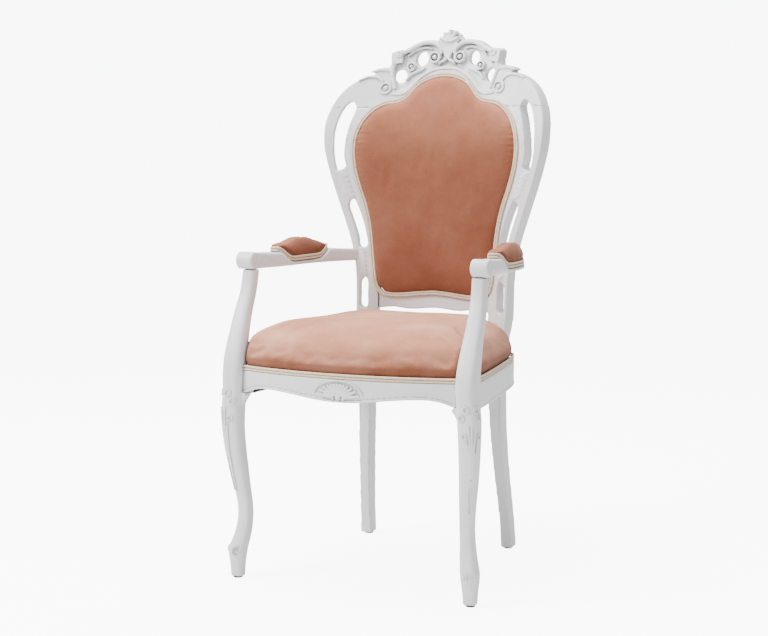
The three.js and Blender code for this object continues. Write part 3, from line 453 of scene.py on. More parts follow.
def suede(name, dark, middle, light, upright_painted_shade, low=None):
    """Brushed suede: broad strokes of nap over a fine pile, with painted shade where it faces sideways and,
    given low, painted shade lower down.
    """
    material, tree, shader = new_material(name, middle, 0.95)
    shader.inputs["Sheen Weight"].default_value = 0.2
    shader.inputs["Sheen Roughness"].default_value = 0.45
    shader.inputs["Sheen Tint"].default_value = (1.0, 0.72, 0.58, 1)
    shader.inputs["Specular IOR Level"].default_value = 0.2
    strokes = ramp(tree, noise(tree, 7.5, 4, 0.6), [(0.3, dark), (0.5, middle), (0.72, light)])
    # Painted shade: the nap is multiplied darker where the surface faces sideways rather than up, as under a
    # top light
    normal = add_node(tree, "ShaderNodeNewGeometry").outputs["Normal"]
    up = add_node(tree, "ShaderNodeSeparateXYZ", inputs={"Vector": normal}).outputs["Z"]
    strokes = mix(tree, 1.0, strokes, ramp(tree, up, [(0.1, upright_painted_shade), (0.85, (1, 1, 1))]), "MULTIPLY")
    # Painted shade: given low, the colour is multiplied darker lower down the object
    if low:
        place = add_node(tree, "ShaderNodeTexCoord").outputs["Object"]
        height = add_node(tree, "ShaderNodeSeparateXYZ", inputs={"Vector": place}).outputs["Z"]
        shade = ramp(tree, height, [(0.55, low), (0.98, (1, 1, 1))])
        strokes = mix(tree, 1.0, strokes, shade, "MULTIPLY")
    pile = noise(tree, 420, 3, 0.7)
    grain = ramp(tree, pile, [(0.3, (0.86,) * 3), (0.7, (1.08,) * 3)])
    tree.links.new(mix(tree, 1.0, strokes, grain, "MULTIPLY"), shader.inputs["Base Color"])
    bump(tree, shader, pile, 0.0004, 0.5)
    return material


def braid():
    """Cream cotton braid with a soft twist."""
    material, tree, shader = new_material("cream_braid", (0.79, 0.68, 0.53), 0.85)
    shader.inputs["Sheen Weight"].default_value = 0.25
    threads = noise(tree, 380, 2, 0.6)
    tree.links.new(ramp(tree, threads, [(0.3, (0.56, 0.42, 0.28)), (0.7, (0.8, 0.67, 0.5))]),
                   shader.inputs["Base Color"])
    bump(tree, shader, threads, 0.0005, 0.7)
    return material


def woven(name, colour, dark, scale):
    """Coarse cloth with threads both ways."""
    material, tree, shader = new_material(name, colour, 0.95)
    place = add_node(tree, "ShaderNodeTexCoord").outputs["Object"]
    waves = [add_node(tree, "ShaderNodeTexWave", {"bands_direction": way}, {"Vector": place, "Scale": scale})
             for way in ("X", "Y")]
    both = mix(tree, 0.5, waves[0].outputs["Color"], waves[1].outputs["Color"])
    tree.links.new(mix(tree, both, dark, colour), shader.inputs["Base Color"])
    bump(tree, shader, both, 0.0003, 0.6)
    return material


def beech():
    """Bare wood with a straight grain."""
    material, tree, shader = new_material("bare_beech", (0.58, 0.39, 0.2), 0.6)
    grain = noise(tree, 24, 5, 0.6, (0.25, 3, 3))
    tree.links.new(ramp(tree, grain, [(0.35, (0.44, 0.28, 0.14)), (0.65, (0.63, 0.44, 0.25))]),
                   shader.inputs["Base Color"])
    bump(tree, shader, grain, 0.0002, 0.4)
    return material


def nylon():
    """Scuffed black plastic."""
    material, tree, shader = new_material("black_nylon", (0.012, 0.012, 0.013), 0.5)
    scuffed = noise(tree, 160, 3)
    tree.links.new(ramp(tree, scuffed, [(0.3, (0.4,) * 3), (0.7, (0.65,) * 3)]), shader.inputs["Roughness"])
    tree.links.new(ramp(tree, scuffed, [(0.4, (0.01, 0.01, 0.011)), (0.8, (0.035, 0.034, 0.034))]),
                   shader.inputs["Base Color"])
    return material


WHITE = painted_wood()
# Painted shade: the back suede's multipliers for sideways-facing and low parts darken them as a top light
# would
BACK_SUEDE = suede("back_suede", dark=(0.34, 0.125, 0.066), middle=(0.41, 0.16, 0.09),
                   light=(0.48, 0.205, 0.125), upright_painted_shade=(0.62, 0.56, 0.53), low=(0.72, 0.66, 0.63))
# Painted light: the seat is the back's suede in lighter tones, standing for its top catching more light
SEAT_SUEDE_PAINTED_LIT = suede("seat_suede_painted_lit", dark=(0.46, 0.185, 0.107), middle=(0.55, 0.25, 0.155),
                   light=(0.67, 0.35, 0.24), upright_painted_shade=(0.42, 0.34, 0.3))
BRAID = braid()

# Back frame, drawn flat: the upholstery's outline, the frame's outer edge and the pierced slots
PANEL_HALF = smooth_path([
    [0, 546.5], [30, 544.5], [60, 541], [86, 539.2], [106, 540], [122, 545], [133, 554], [139.5, 570],
    [144, 600], [148.5, 640], [154, 690], [164, 735], [180, 782], [191, 825], [194, 860], [190.5, 892],
    [180, 921], [166, 941], [149, 956], [128, 965.5], [104, 969.5], [93, 973], [85, 980], [76, 991],
    [64, 1004], [48, 1014.5], [30, 1021.5], [14, 1025], [0, 1026],
], 110)
PANEL = np.concatenate([PANEL_HALF, PANEL_HALF[-2:0:-1] * (-1, 1)])
PANEL_OPENING = offset(PANEL, COVER_OVER_WOOD, closed=True)

HOOP_OUTER = smooth_path([
    [174.5, 500], [175.3, 545], [176.5, 585], [180.5, 622], [188.5, 660], [200, 698], [214, 740],
    [228, 782], [240.5, 825], [248.5, 860], [251, 890], [249.5, 920], [241, 952], [226, 980],
    [206, 1001], [181, 1016], [156, 1022.5], [148, 1023],
], 120)
SLOT_TOP = smooth_path([
    [222, 812], [228, 840], [230.5, 875], [228.5, 908], [220, 940], [210, 957], [200, 964], [191.5, 957],
    [190.5, 944], [197, 925], [203, 900], [207.5, 870], [207.5, 840], [204, 822], [222, 812],
], 60)[:-1]
SLOT_MIDDLE = smooth_path([
    [183, 752], [177, 738], [169, 718], [162.5, 698], [157.5, 678], [154, 650], [169.5, 646], [174, 668],
    [181, 692], [189, 715], [195.5, 736], [192, 750], [183, 752],
], 44)[:-1]
SLOT_LOWER = smooth_path([
    [156, 584], [151.5, 574], [151, 545], [151.5, 518], [158.5, 514], [166, 518], [167, 545],
    [166.5, 572], [156, 584],
], 30)[:-1]

# Rear leg at each height: its outer and inner edge, and its depth
LEG_EDGES = table([
    [0, 179.5, 155], [50, 177.5, 154.5], [100, 174.5, 152.5], [150, 171.5, 149], [200, 169.3, 145.5],
    [250, 167.8, 142], [300, 167.5, 139], [380, 167.3, 136.2], [430, 168.8, 133.5],
    [480, 172.5, 130], [515, 175, 128],
])
STILE_DEPTH = table([
    [0, 31], [60, 34], [130, 38], [230, 38], [330, 35], [430, 33], [540, 29], [620, 28], [1100, 28],
])


def groove(points):
    """Cuts a shallow line into the front face, parallel to the upholstery."""
    front = points[:, 2] < FRONT_FACE_DEPTH
    x, z, _ = points[front].T
    gaps = distance_to(offset(PANEL, -GROOVE_OUT, closed=True), x, z)
    points[front, 2] += GROOVE_DEPTH * np.exp(-((gaps / GROOVE_WIDTH) ** 2)) * (z > GROOVE_FROM_Z)
    return points


def bridge_leaves(low, high, count, width):
    """Slanting leaves, one above the other, that make a rope-like bridge beside the slots."""
    low, high = np.array(low, float), np.array(high, float)
    rise = np.linalg.norm(high - low) / count * 0.5
    leaves = []
    for i in range(count):
        x, z = low + (high - low) * (i + 0.5) / count
        path = [[x - width / 2, z - rise], [x - width * 0.2, z - rise * 0.6],
                [x + width * 0.15, z + rise * 0.1], [x + width / 2, z + rise]]
        leaves.append(bar(path, [rise * 0.8, rise * 1.6, rise * 1.6, rise * 0.8], -2.8, 6))
    return leaves


def back_frame_outline():
    """Stile and hoop up to the carving, right half."""
    leg_heights = np.linspace(LEG_BOTTOM, 470, 50)
    outside = np.c_[LEG_EDGES(leg_heights)[:, 0], leg_heights]
    hoop = HOOP_OUTER[HOOP_OUTER[:, 0] > 170]
    inside = PANEL_OPENING[(PANEL_OPENING[:, 0] > LOWER_RAIL_END + 1) & (PANEL_OPENING[:, 1] < 960)][::-1]
    inner_leg = np.c_[LEG_EDGES(leg_heights[::-1])[:, 1], leg_heights[::-1]]
    return np.concatenate([outside, hoop, [[150, 1000]], inside, [[128, 547], [128, 515]], inner_leg])


def trimmed(piece, height, upper):
    """Cuts a flat piece level at a height and closes the cut."""
    solid = bmesh.new()
    solid.from_mesh(piece.data)
    found = bmesh.ops.bisect_plane(
        solid, geom=[*solid.verts, *solid.edges, *solid.faces], plane_co=(0, height * MM, 0),
        plane_no=(0, 1, 0), clear_outer=not upper, clear_inner=upper)
    edges = [e for e in found["geom_cut"] if isinstance(e, bmesh.types.BMEdge)]
    bmesh.ops.holes_fill(solid, edges=edges)
    solid.to_mesh(piece.data)
    solid.free()


def flat_carving(name, parts, voxel, smooth, cut_at=None, upper=False):
    """Carved skin made flat, cut at the joint, then bent onto the back."""
    piece = carve(name, parts, voxel, smooth, lambda p: p - (0, CENTRING, 0))
    if cut_at:
        trimmed(piece, cut_at, upper)
    points = get_points(piece.data)
    if not upper:
        points[:, 2] *= STILE_DEPTH(points[:, 1])[:, 0] / STILE_THICKNESS
    set_points(piece.data, wrap(groove(points)) + (0, CENTRING, 0))
    return piece


def build_stiles():
    flat = [
        board(back_frame_outline(), [SLOT_TOP, SLOT_MIDDLE, SLOT_LOWER], 0, STILE_THICKNESS),
        *bridge_leaves((191, 758), (213, 812), 5, 19),
        *bridge_leaves((158.5, 588), (162, 646), 6, 12),
    ]
    for side, change in SIDES:
        piece = flat_carving(f"rear_stile_{side}_carved", [change(part) for part in flat], MEDIUM, 4,
                             CREST_JOINT_Z - GAP / 2)
        finish_piece(piece, [f"rear_stile_{side}"], WHITE)


def build_lower_rail():
    top = PANEL_OPENING[(np.abs(PANEL_OPENING[:, 0]) < LOWER_RAIL_END - 2) & (PANEL_OPENING[:, 1] < 600)]
    top = top[np.argsort(-top[:, 0])]
    bottom = smooth_path([
        [-LOWER_RAIL_END, 514], [-95, 517], [-55, 513.5], [0, 517.5],
        [55, 513.5], [95, 517], [LOWER_RAIL_END, 514],
    ], 70)
    outline = np.concatenate([bottom, [[LOWER_RAIL_END, 549.5]], top, [[-LOWER_RAIL_END, 549.5]]])
    piece = carve("back_lower_rail_carved", [board(outline, [], 3, 27)], MEDIUM, 4, wrap)
    finish_piece(piece, ["back_lower_rail"], WHITE)


def crest_outline():
    """Crest with its horns and finial, open below where it borders the upholstery."""
    hoop = HOOP_OUTER[HOOP_OUTER[:, 1] > 926]
    carving = smooth_path([
        [149, 1025], [166, 1028.5], [150, 1036], [130, 1038.5], [126, 1048], [127, 1064], [124, 1073.5],
        [113, 1076], [102, 1075], [90, 1080], [76, 1089], [60, 1095.5], [44, 1097.5], [29, 1096.5],
        [26.5, 1100], [21, 1104], [19, 1109], [12, 1112], [9, 1117], [3, 1118], [0, 1119],
    ], 90)
    right = np.concatenate([[[251, 925]], hoop, carving])
    left = right[-2::-1] * (-1, 1)
    opening = PANEL_OPENING[PANEL_OPENING[:, 1] > 926]
    opening = opening[np.argsort(opening[:, 0])]
    return np.concatenate([right, left, [[-174, 925]], opening, [[174, 925]]])


CREST_HOLES = [SLOT_TOP[SLOT_TOP[:, 1] > 930], ellipse(60, 1056.5, 13.5, 16.5, 0.15),
               ellipse(103.5, 1018.5, 14, 15, -0.3)]
CREST_GROUND = [
    [0, 1040], [22, 1038], [42, 1030], [60, 1018], [76, 1001], [88, 989], [104, 986], [111, 990],
    [116, 1004], [120, 1020], [122, 1040], [130, 1084], [100, 1100], [60, 1110], [32, 1130], [0, 1130],
]


def volute(cx, cy, radius, start, way, front, back=12):
    """Raised scroll of a little more than one turn, round a domed eye."""
    turn = spiral(cx, cy, radius * 0.84, radius * 0.66, start, way * 1.15, 18)
    eye = dome(cx, cy, radius * 0.34, front - 0.4, back)
    return [bar(turn, [radius * 0.34, radius * 0.32, radius * 0.2], front, back, 90), eye]


def crest_carving():
    """Raised scrolls, volutes and leaves on both halves of the crest."""
    arch = [[106, 1069], [91, 1075], [76, 1084], [60, 1090.5], [44, 1092], [29, 1088], [18, 1078],
            [15.5, 1066]]
    parts = [
        bar(arch, [9, 10, 10, 9, 6], -5, 12, 120),
        *volute(29.5, 1059.5, 14.5, math.pi * 0.86, 1, -5),
        bar([[92, 1062], [80, 1072], [66, 1078.5], [50, 1080.5], [38, 1077]], [3, 5, 5, 3], 0, 12),
        bar([[116, 1052], [122, 1038], [121, 1022], [116, 1006], [112, 990]], [8, 10, 8, 7, 7], -3.5, 12),
        bar([[118, 1028], [134, 1033], [150, 1032.5], [167, 1028.5]], [5, 10, 7, 2], -3, 14),
        bar([[50, 1036], [66, 1029], [80, 1022], [90, 1009]], [3, 6, 6, 3], 0, 12),
        *volute(80.5, 1040, 10.5, math.pi * 1.2, 1, -3),
        bar([[0, 1035], [21, 1033.5], [41, 1026], [58, 1014], [73, 998], [86, 984], [103, 979], [120, 980]],
            [6, 6, 6, 5], -3.2, 9, 90),
        bar([[192, 1010], [170, 1018], [150, 1016], [139, 1007]], [3, 5, 6, 5.5], -3.6, 8, 60),
        *volute(131.5, 993, 15, math.pi * 0.36, -1, -4, 8),
        board([[101, 1048], [125, 1045], [127.5, 1070], [103, 1077]], [], -4.5, CREST_THICKNESS - 2),
        *volute(111, 1066, 8, 0, 1, -7.5, 0),
    ]
    return parts + [mirror(part) for part in parts]


def crest_finial():
    """Five-petalled shell at the top of the crest, on a pointed stem with two leaves."""
    parts = []
    for degrees in (-64, -33, 0, 33, 64):
        angle = math.radians(90 - degrees)
        length = 28 if degrees == 0 else 27 - abs(degrees) * 0.04
        spine = [[math.cos(angle) * length * k, 1091 + math.sin(angle) * length * k]
                 for k in (0.05, 0.35, 0.7, 1)]
        parts.append(bar(spine, [2.5, 6, 7.6, 4.5], -7.5, 12))
    stem = [[-24, 1097], [-12, 1074], [-5, 1056], [5, 1056], [12, 1074], [24, 1097], [0, 1104]]
    parts.append(board(stem, [], -2.5, 12))
    for side in (-1, 1):
        leaf = [[0, 1060], [side * 6, 1053], [side * 15, 1048], [side * 20, 1043]]
        parts.append(bar(leaf, [4, 6.5, 5, 2], -3, 12))
    return parts


def build_crest():
    holes = CREST_HOLES + [hole * (-1, 1) for hole in CREST_HOLES]
    ground = np.array(CREST_GROUND)
    ground = np.concatenate([ground, ground[-2:0:-1] * (-1, 1)])
    plate = board(crest_outline(), holes, 0, CREST_THICKNESS)
    recess = board(ground, [], -10, CREST_RECESS)
    body = mesh_object("crest_plate", *plate)
    tool = mesh_object("crest_recess", *recess)
    cut = body.modifiers.new("recess", "BOOLEAN")
    cut.operation = "DIFFERENCE"
    cut.object = tool
    cut.solver = "EXACT"
    applied(body)
    points = get_points(body.data)
    faces = [tuple(p.vertices) for p in body.data.polygons]
    bpy.data.objects.remove(body)
    bpy.data.objects.remove(tool)
    body = flat_carving("crest_rail_body", [(points, faces)], MEDIUM, 3, CREST_JOINT_Z + GAP / 2,
                        upper=True)
    finish_piece(body, ["crest_rail"], WHITE)
    carving = flat_carving("crest_rail_carving", [*crest_carving(), *crest_finial()], SHARP, 1, upper=True)
    finish_piece(carving, ["crest_rail"], WHITE)


# Front legs: centre and half widths at each height
FRONT_LEG = table([
    [0, 251.6, 18.6, 12.6, 11.8], [30, 251.6, 18.4, 14.6, 13.8], [48, 251.4, 18.2, 16.8, 16.2],
    [62, 250.4, 19.6, 17.6, 17.4], [90, 244.4, 27.4, 15.8, 15.6], [120, 240.8, 32, 14.2, 14.2],
    [150, 240.2, 30.6, 14, 14], [185, 243, 24.8, 15, 15], [225, 246.8, 18.8, 17, 16.8],
    [265, 250.2, 13.2, 18.4, 18.4],
    [310, 252.4, 8.6, 19.8, 19.8], [350, 252.2, 7.8, 20.8, 21.6], [385, 250, 8.5, 20.5, 22.5],
    [420, 248.5, 8, 21, 23.5], [455, 248.6, 13.5, 20.4, 21.5], [500, 249.3, 29.8, 18, 18.5],
    [540, 249.5, 48, 16.2, 16.6], [580, 247.8, 65.5, 15, 15], [622, 246.6, 75, 14.6, 14.4],
])


def knee_carving():
    """Lobe, curls and veins laid on the knee, by height and turn from its corner."""
    def on_knee(z, turn, proud):
        x, y, a, b = FRONT_LEG(z)[0]
        angle = turn - math.pi / 4 - KNEE_TURN
        c, s = math.cos(angle), math.sin(angle)
        reach = (abs(c / a) ** KNEE_POWER + abs(s / b) ** KNEE_POWER) ** (-1 / KNEE_POWER) + proud
        return x + c * reach, y + s * reach, z

    def lobe(z0, z1, turn0, turn1, width):
        rings = []
        for share in np.linspace(0, 1, 18):
            z, turn = z0 + (z1 - z0) * share, turn0 + (turn1 - turn0) * share
            half = width * math.sin(math.pi * (0.15 + 0.75 * share))
            section = [(-1, -5), (-1, -0.6), (-0.5, 1.0), (0, 2.2), (0.5, 1.0), (1, -0.6), (1, -5)]
            rings.append([on_knee(z, turn + across * half, proud) for across, proud in section])
        return loft(rings)

    def curl(z, turn, radius, way):
        angles = np.linspace(0, 2.3 * math.pi, 26)
        size = radius * np.linspace(1, 0.55, 26)
        return cord([on_knee(z + r * math.sin(a), turn + way * r * math.cos(a) / 21, 0.5)
                     for a, r in zip(angles, size)], 1.9)

    def vein(z0, z1, turn0, turn1):
        return cord([on_knee(z0 + (z1 - z0) * k, turn0 + (turn1 - turn0) * k ** 0.6, 0.6)
                     for k in np.linspace(0, 1, 24)], 1.7)

    parts = [lobe(350, 250, 0, 0, 0.1)]
    for way in (-1, 1):
        parts += [curl(380, way * 0.45, 7.5, way), curl(364, way * 0.9, 7, way),
                  curl(330, way * 0.72, 6.5, way)]
        parts += [vein(326, 180, way * 0.5, way * 0.16), vein(352, 230, way * 0.28, way * 0.1)]
    return parts


def cylinder(radius, length, rounding=1.5, sides=40):
    """Roll along Y with softened ends."""
    half = length / 2
    stations = [(-half, radius - rounding), (-half + rounding, radius),
                (half - rounding, radius), (half, radius - rounding)]
    angles = np.linspace(0, 2 * math.pi, sides, endpoint=False)
    return loft([[(r * math.cos(a), y, r * math.sin(a)) for a in angles] for y, r in stations])


def build_front_legs():
    heights = np.linspace(LEG_BOTTOM, LEG_TOP, 110)
    body = loft([rounded_square(x, y, z, a, b) for z, (x, y, a, b) in zip(heights, FRONT_LEG(heights))])
    across = Matrix.Rotation(-math.pi / 4, 3, "Z")
    angles = np.linspace(0, 2 * math.pi, 40, endpoint=False)
    roll = turned(cylinder(10.5, 26), across, TOE_PLACE)
    toe = [turned(cylinder(4, 31), across, TOE_PLACE)]
    for end in (-13, 13):
        ring = cord([(9 * math.cos(a), end, 9 * math.sin(a)) for a in angles], 2.2, closed=True)
        toe.append(turned(ring, across, TOE_PLACE))
    side = [[236, 345], [231, 356], [226, 366], [221, 372], [219.5, 377], [221, RAIL_BOTTOM - GAP],
            [240, RAIL_BOTTOM - GAP]]
    plate, faces = board(side, [], -2.5, 21.5)
    bracket = (plate[:, [0, 2, 1]], faces)
    pair("front_leg", "front_leg", [body, roll, bracket], MEDIUM, 3)
    pair("front_leg_scroll", "front_leg", [*toe, *knee_carving()], SHARP, 1)


# Seat rails
def front_bow(x):
    """Y of the front rail's face, which bows forward in the middle."""
    return -FRONT_BOW * (1 - (x / FRONT_BOW_HALF) ** 2) + FRONT_SET_BACK


def front_rail_bottom(x):
    """Lower edge of the front rail: lowest in the middle, arched on each side of it."""
    share = abs(x) / FRONT_ARCH_AT
    if share < 1:
        arch = 0.5 - 0.5 * math.cos(math.pi * share)
    else:
        arch = max(0, 1 - ((share - 1) / FRONT_ARCH_FALL) ** 2)
    return RAIL_BOTTOM + FRONT_RAIL_ARCH * arch


def shell_parts():
    """Fan of narrow petals inside a scalloped rim, laid on the bowed rail."""
    parts, rim = [], []
    for angle in np.linspace(0.06, 0.94, 13) * math.pi:
        reach = 1 / math.hypot(math.cos(angle) / 54, math.sin(angle) / 35)
        way = np.array([math.cos(angle), math.sin(angle)])
        spine = [(0, 388) + way * reach * k for k in (0.22, 0.45, 0.7, 0.86)]
        parts.append(bar(spine, [1.8, 3.6, 5.4, 4.8], -4.0, 5))
        rim.append((0, 388) + way * (reach + 0.5))
    parts.append(bar(rim, [2.6, 2.6], -3.2, 5, 120))
    parts.append(dome(0, 391, 6, -4.4, 5))
    parts += [dome(side * 11, 388.5, 3.2, -3.6, 5) for side in (-1, 1)]
    laid = []
    for points, faces in parts:
        x, z, depth = points.T
        laid.append((np.stack([x, front_bow(x) + depth, z], axis=1), faces))
    return laid


def build_front_rail():
    rings = []
    for x in np.linspace(-FRONT_RAIL_REACH, FRONT_RAIL_REACH, 90):
        bottom, front = front_rail_bottom(x), front_bow(x)
        section = [(RAIL_THICKNESS, bottom), (-0.6, bottom), (-1.6, bottom + 1), (-1.6, bottom + 3),
                   (-0.6, bottom + 4), (2.4, bottom + 4.6), (2.4, bottom + 6), (0, bottom + 7.5),
                   (0, RAIL_TOP - 2), (1, RAIL_TOP), (RAIL_THICKNESS, RAIL_TOP)]
        rings.append([(x, front + depth, z) for depth, z in section])
    for name, parts, voxel in (("moulded", [loft(rings)], CRISP), ("shell", shell_parts(), SHARP)):
        piece = carve(f"front_seat_rail_{name}", parts, voxel, 2)
        finish_piece(piece, ["front_seat_rail"], WHITE)


# Outer face of the right seat rail, seen from above
SEAT_SIDE = smooth_path([
    [259, 22], [254, 80], [246, 150], [237, 215], [229, 270], [220, 325], [210, 368], [201, 394],
    [189, 413], [175, 426], [160, 433],
], 80)


def build_side_rails():
    rings = []
    inner = offset(SEAT_SIDE, RAIL_THICKNESS)
    for (x0, y0), (x1, y1) in zip(SEAT_SIDE, inner):
        section = [(1, SIDE_RAIL_BOTTOM), (0.03, SIDE_RAIL_BOTTOM), (-0.05, SIDE_RAIL_BOTTOM + 1.5),
                   (-0.05, SIDE_RAIL_BOTTOM + 4), (0.05, SIDE_RAIL_BOTTOM + 5.5), (0, SIDE_RAIL_BOTTOM + 8),
                   (0, RAIL_TOP - 2), (0.04, RAIL_TOP), (1, RAIL_TOP)]
        rings.append([(x0 + (x1 - x0) * k, y0 + (y1 - y0) * k, z) for k, z in section])
    pair("side_seat_rail", "side_seat_rail", [loft(rings)], MEDIUM, 2)


def build_rear_rail():
    bottom = RAIL_BOTTOM + 4
    outline = [[-136, bottom], [136, bottom], [136, RAIL_TOP], [-136, RAIL_TOP]]
    points, faces = board(outline, [], 410, 431.5)
    piece = carve("rear_seat_rail_planed", [(points[:, [0, 2, 1]], faces)], COARSE, 2)
    finish_piece(piece, ["rear_seat_rail"], WHITE)


# Arms: centre, lower face, upper face and half width at each Y
ARM_PATH = table([
    [67, 251.5, 620.9, 656, 18.5], [100, 249.5, 620.8, 653, 18.5], [130, 245, 620.6, 651, 19.5],
    [160, 240.5, 620.3, 650, 20.5], [172, 239.4, 620.2, 645, 21], [186, 238.4, 620.1, 635, 21.5],
    [202, 238, 620, 629, 22], [250, 237.5, 619.5, 628.5, 22], [300, 232, 619, 628.5, 21.5],
    [322, 226.5, 618.8, 630, 20], [336, 222, 618.6, 637, 18.5], [352, 216.5, 618.4, 647, 16.5],
    [395, 200, 617.8, 645, 13.5], [440, 181, 617.4, 642.5, 12.5],
])


def arm_frame(y):
    """Centre, sideways direction, lower and upper face and half width of the arm at each y."""
    x, low, high, half = ARM_PATH(y).T
    slope = (ARM_PATH(y + 2)[:, 0] - ARM_PATH(y - 2)[:, 0]) / 4
    length = np.hypot(1, slope)
    return np.stack([x, y], 1), np.stack([1 / length, -slope / length], 1), low, high, half


def build_arms():
    y = np.linspace(ARM_START, ARM_END, 110)
    centre, across, low, high, half = arm_frame(y)
    section = [(-0.72, 0), (0.4, 0), (0.72, 0.07), (0.93, 0.22), (1, 0.4), (1, 0.8), (0.93, 0.94), (0.8, 1),
               (-0.8, 1), (-0.93, 0.94), (-1, 0.8), (-1, 0.2), (-0.9, 0.06)]
    rings = []
    for c, a, z0, z1, h in zip(centre, across, low, high, half):
        rings.append([(c[0] + a[0] * s * h, c[1] + a[1] * s * h, z0 + (z1 - z0) * k) for s, k in section])
    sideways = Matrix.Rotation(math.pi / 2, 3, "Z")
    roll = turned(cylinder(17.5, 37, 2.5), sideways, (251.5, 68, 638.6))
    eye = turned(cylinder(5, 42, 1.5), sideways, (251.5, 84, 640))
    pair("arm", "arm", [loft(rings), roll, eye], FINE, 3)


# Braid: two twisted cords side by side
def cord(path, radius=CORD_RADIUS, closed=False):
    """Tube round a path in space, with the ribs of a twisted cord."""
    path = np.array(path, float)
    gaps = np.linalg.norm(np.diff(path, axis=0, append=path[:1] if closed else path[-1:]), axis=1)
    at = np.concatenate([[0], np.cumsum(gaps)])
    count = int(at[-1] / CORD_STEP)
    stations = np.linspace(0, at[-1], count, endpoint=not closed)
    source = np.concatenate([path, path[:1]]) if closed else np.concatenate([path, path[-1:]])
    line = np.stack([np.interp(stations, at, source[:, k]) for k in range(3)], axis=1)
    if closed:
        along = np.roll(line, -1, axis=0) - np.roll(line, 1, axis=0)
    else:
        along = np.gradient(line, axis=0)
    along /= np.linalg.norm(along, axis=1)[:, None]
    side = np.cross(along, (0, 0, 1))
    flat = np.linalg.norm(side, axis=1) < 0.2
    side[flat] = np.cross(along[flat], (0, 1, 0))
    side /= np.linalg.norm(side, axis=1)[:, None]
    over = np.cross(side, along)
    angles = np.linspace(0, 2 * math.pi, CORD_SIDES, endpoint=False)
    twist = stations[:, None] * CORD_TWIST + angles[None, :]
    size = radius * (0.93 + 0.09 * np.cos(2 * twist))
    rings = (line[:, None, :] + side[:, None, :] * (size * np.cos(angles))[..., None]
             + over[:, None, :] * (size * np.sin(angles))[..., None])
    return loft(rings, closed)


def braid_piece(name, nodes, cords):
    points, faces = merged(cords)
    piece = mesh_object(name, points + (0, CENTRING, 0), faces)
    finish_piece(piece, nodes, BRAID)


def seat_braid(name, path):
    """Two cords, one above the other, along a level path just above the seat rails."""
    cords = [cord(np.c_[path, np.full(len(path), RAIL_TOP + GAP + lift)]) for lift in SEAT_CORD_LIFTS]
    braid_piece(f"seat_gimp_{name}_braid", [f"seat_gimp_{name}"], cords)


def build_seat_braid():
    x = np.linspace(-226, 226, 90)
    seat_braid("front", np.stack([x, front_bow(x) + GIMP_PROUD - CORD_RADIUS], axis=1))
    side = offset(SEAT_SIDE, GIMP_PROUD - CORD_RADIUS)
    side = side[(side[:, 1] > 33) & (side[:, 0] > 170)]
    for name, flip in (("right", 1), ("left", -1)):
        seat_braid(f"side_{name}", side * (flip, 1))
    seat_braid("rear", np.stack([np.linspace(-132, 132, 30), np.full(30, 428.5)], axis=1))


def build_back_braid():
    for name, depth in (("front", -2.0), ("rear", STILE_THICKNESS + 2.6)):
        cords = []
        for distance in (2.8, 7.6):
            line = offset(PANEL, distance, closed=True)
            cords.append(cord(wrap(np.c_[line, np.full(len(line), depth)]), closed=True))
        braid_piece(f"back_gimp_{name}_braid", [f"back_gimp_{name}"], cords)


def arm_pad_ring(distance, lift, count=40):
    """Ring round the right arm pad, moved inwards by a distance and lifted."""
    share = (np.arange(count) + 0.5) / count
    y = ARM_PAD_START + (ARM_PAD_END - ARM_PAD_START) * (0.5 - 0.5 * np.cos(math.pi * share))
    centre, across, _, high, half = arm_frame(y)
    width = (half + 0.8) * np.sin(math.pi * share) ** 0.5
    z = high + ARM_PAD_ROOM + lift
    right = np.c_[centre + across * width[:, None], z]
    left = np.c_[centre - across * width[:, None], z][::-1]
    ring = np.concatenate([right, left])
    moved = offset(ring[:, :2], distance, closed=True)
    return np.c_[moved, ring[:, 2]]


def build_arm_braid():
    cords = [cord(arm_pad_ring(2.0, lift), 2.6, closed=True) for lift in (2.8, 8.4)]
    braid_piece("arm_gimp_right_braid", ["arm_gimp_right"], cords)
    braid_piece("arm_gimp_left_braid", ["arm_gimp_left"], [mirror(c) for c in cords])


# Cushions
def fuller_arm_pad(points):
    """Raises the middle of an arm pad to a dome and draws its ends down to the braid."""
    share = (points[:, 1] - points[:, 1].min()) / np.ptp(points[:, 1])
    top = smoothstep(points[:, 2], points[:, 2].min() + 10, points[:, 2].max())
    points[:, 2] += top * (7 * np.sin(math.pi * share) ** 0.8 - 2.5 - 6 * smoothstep(share, 0.84, 1))
    return points


def back_creases(points):
    """Short pulls in the cover where it is drawn to the widest part of the frame."""
    x, y, z = points.T
    edge = np.interp(z, PANEL_HALF[:, 1][20:90], PANEL_HALF[:, 0][20:90]) - 7
    near = np.exp(-np.clip(edge - np.abs(x), 0, None) / 11)
    near = near * smoothstep(z, 740, 790) * (1 - smoothstep(z, 900, 930))
    waves = np.sin(z * 0.52 + 0.6 * np.sign(x)) + 0.6 * np.sin(z * 0.83 + 2 * np.sign(x))
    points[:, 1] -= 0.9 * near * waves
    return points


def cushion(node, name, voxel, cap, held, material, shape=None):
    """A CAD pad as stuffed fabric: its skin is inflated with its edge held, then softened."""
    piece = linked(name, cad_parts[node].data.copy())
    add_skin(piece, voxel, 6)
    applied(piece)
    before = get_points(piece.data)
    pinned = held(before)
    inflate(piece, pinned)
    moved = get_points(piece.data) - before
    reach = np.linalg.norm(moved, axis=1)
    moved *= np.minimum(1, cap / np.maximum(reach, 1e-6))[:, None]
    set_points(piece.data, before + moved)
    finer = piece.modifiers.new("finer", "SUBSURF")
    finer.levels = 1
    applied(piece)
    if shape:
        set_points(piece.data, shape(get_points(piece.data)))
    return finish_piece(piece, [node], material)


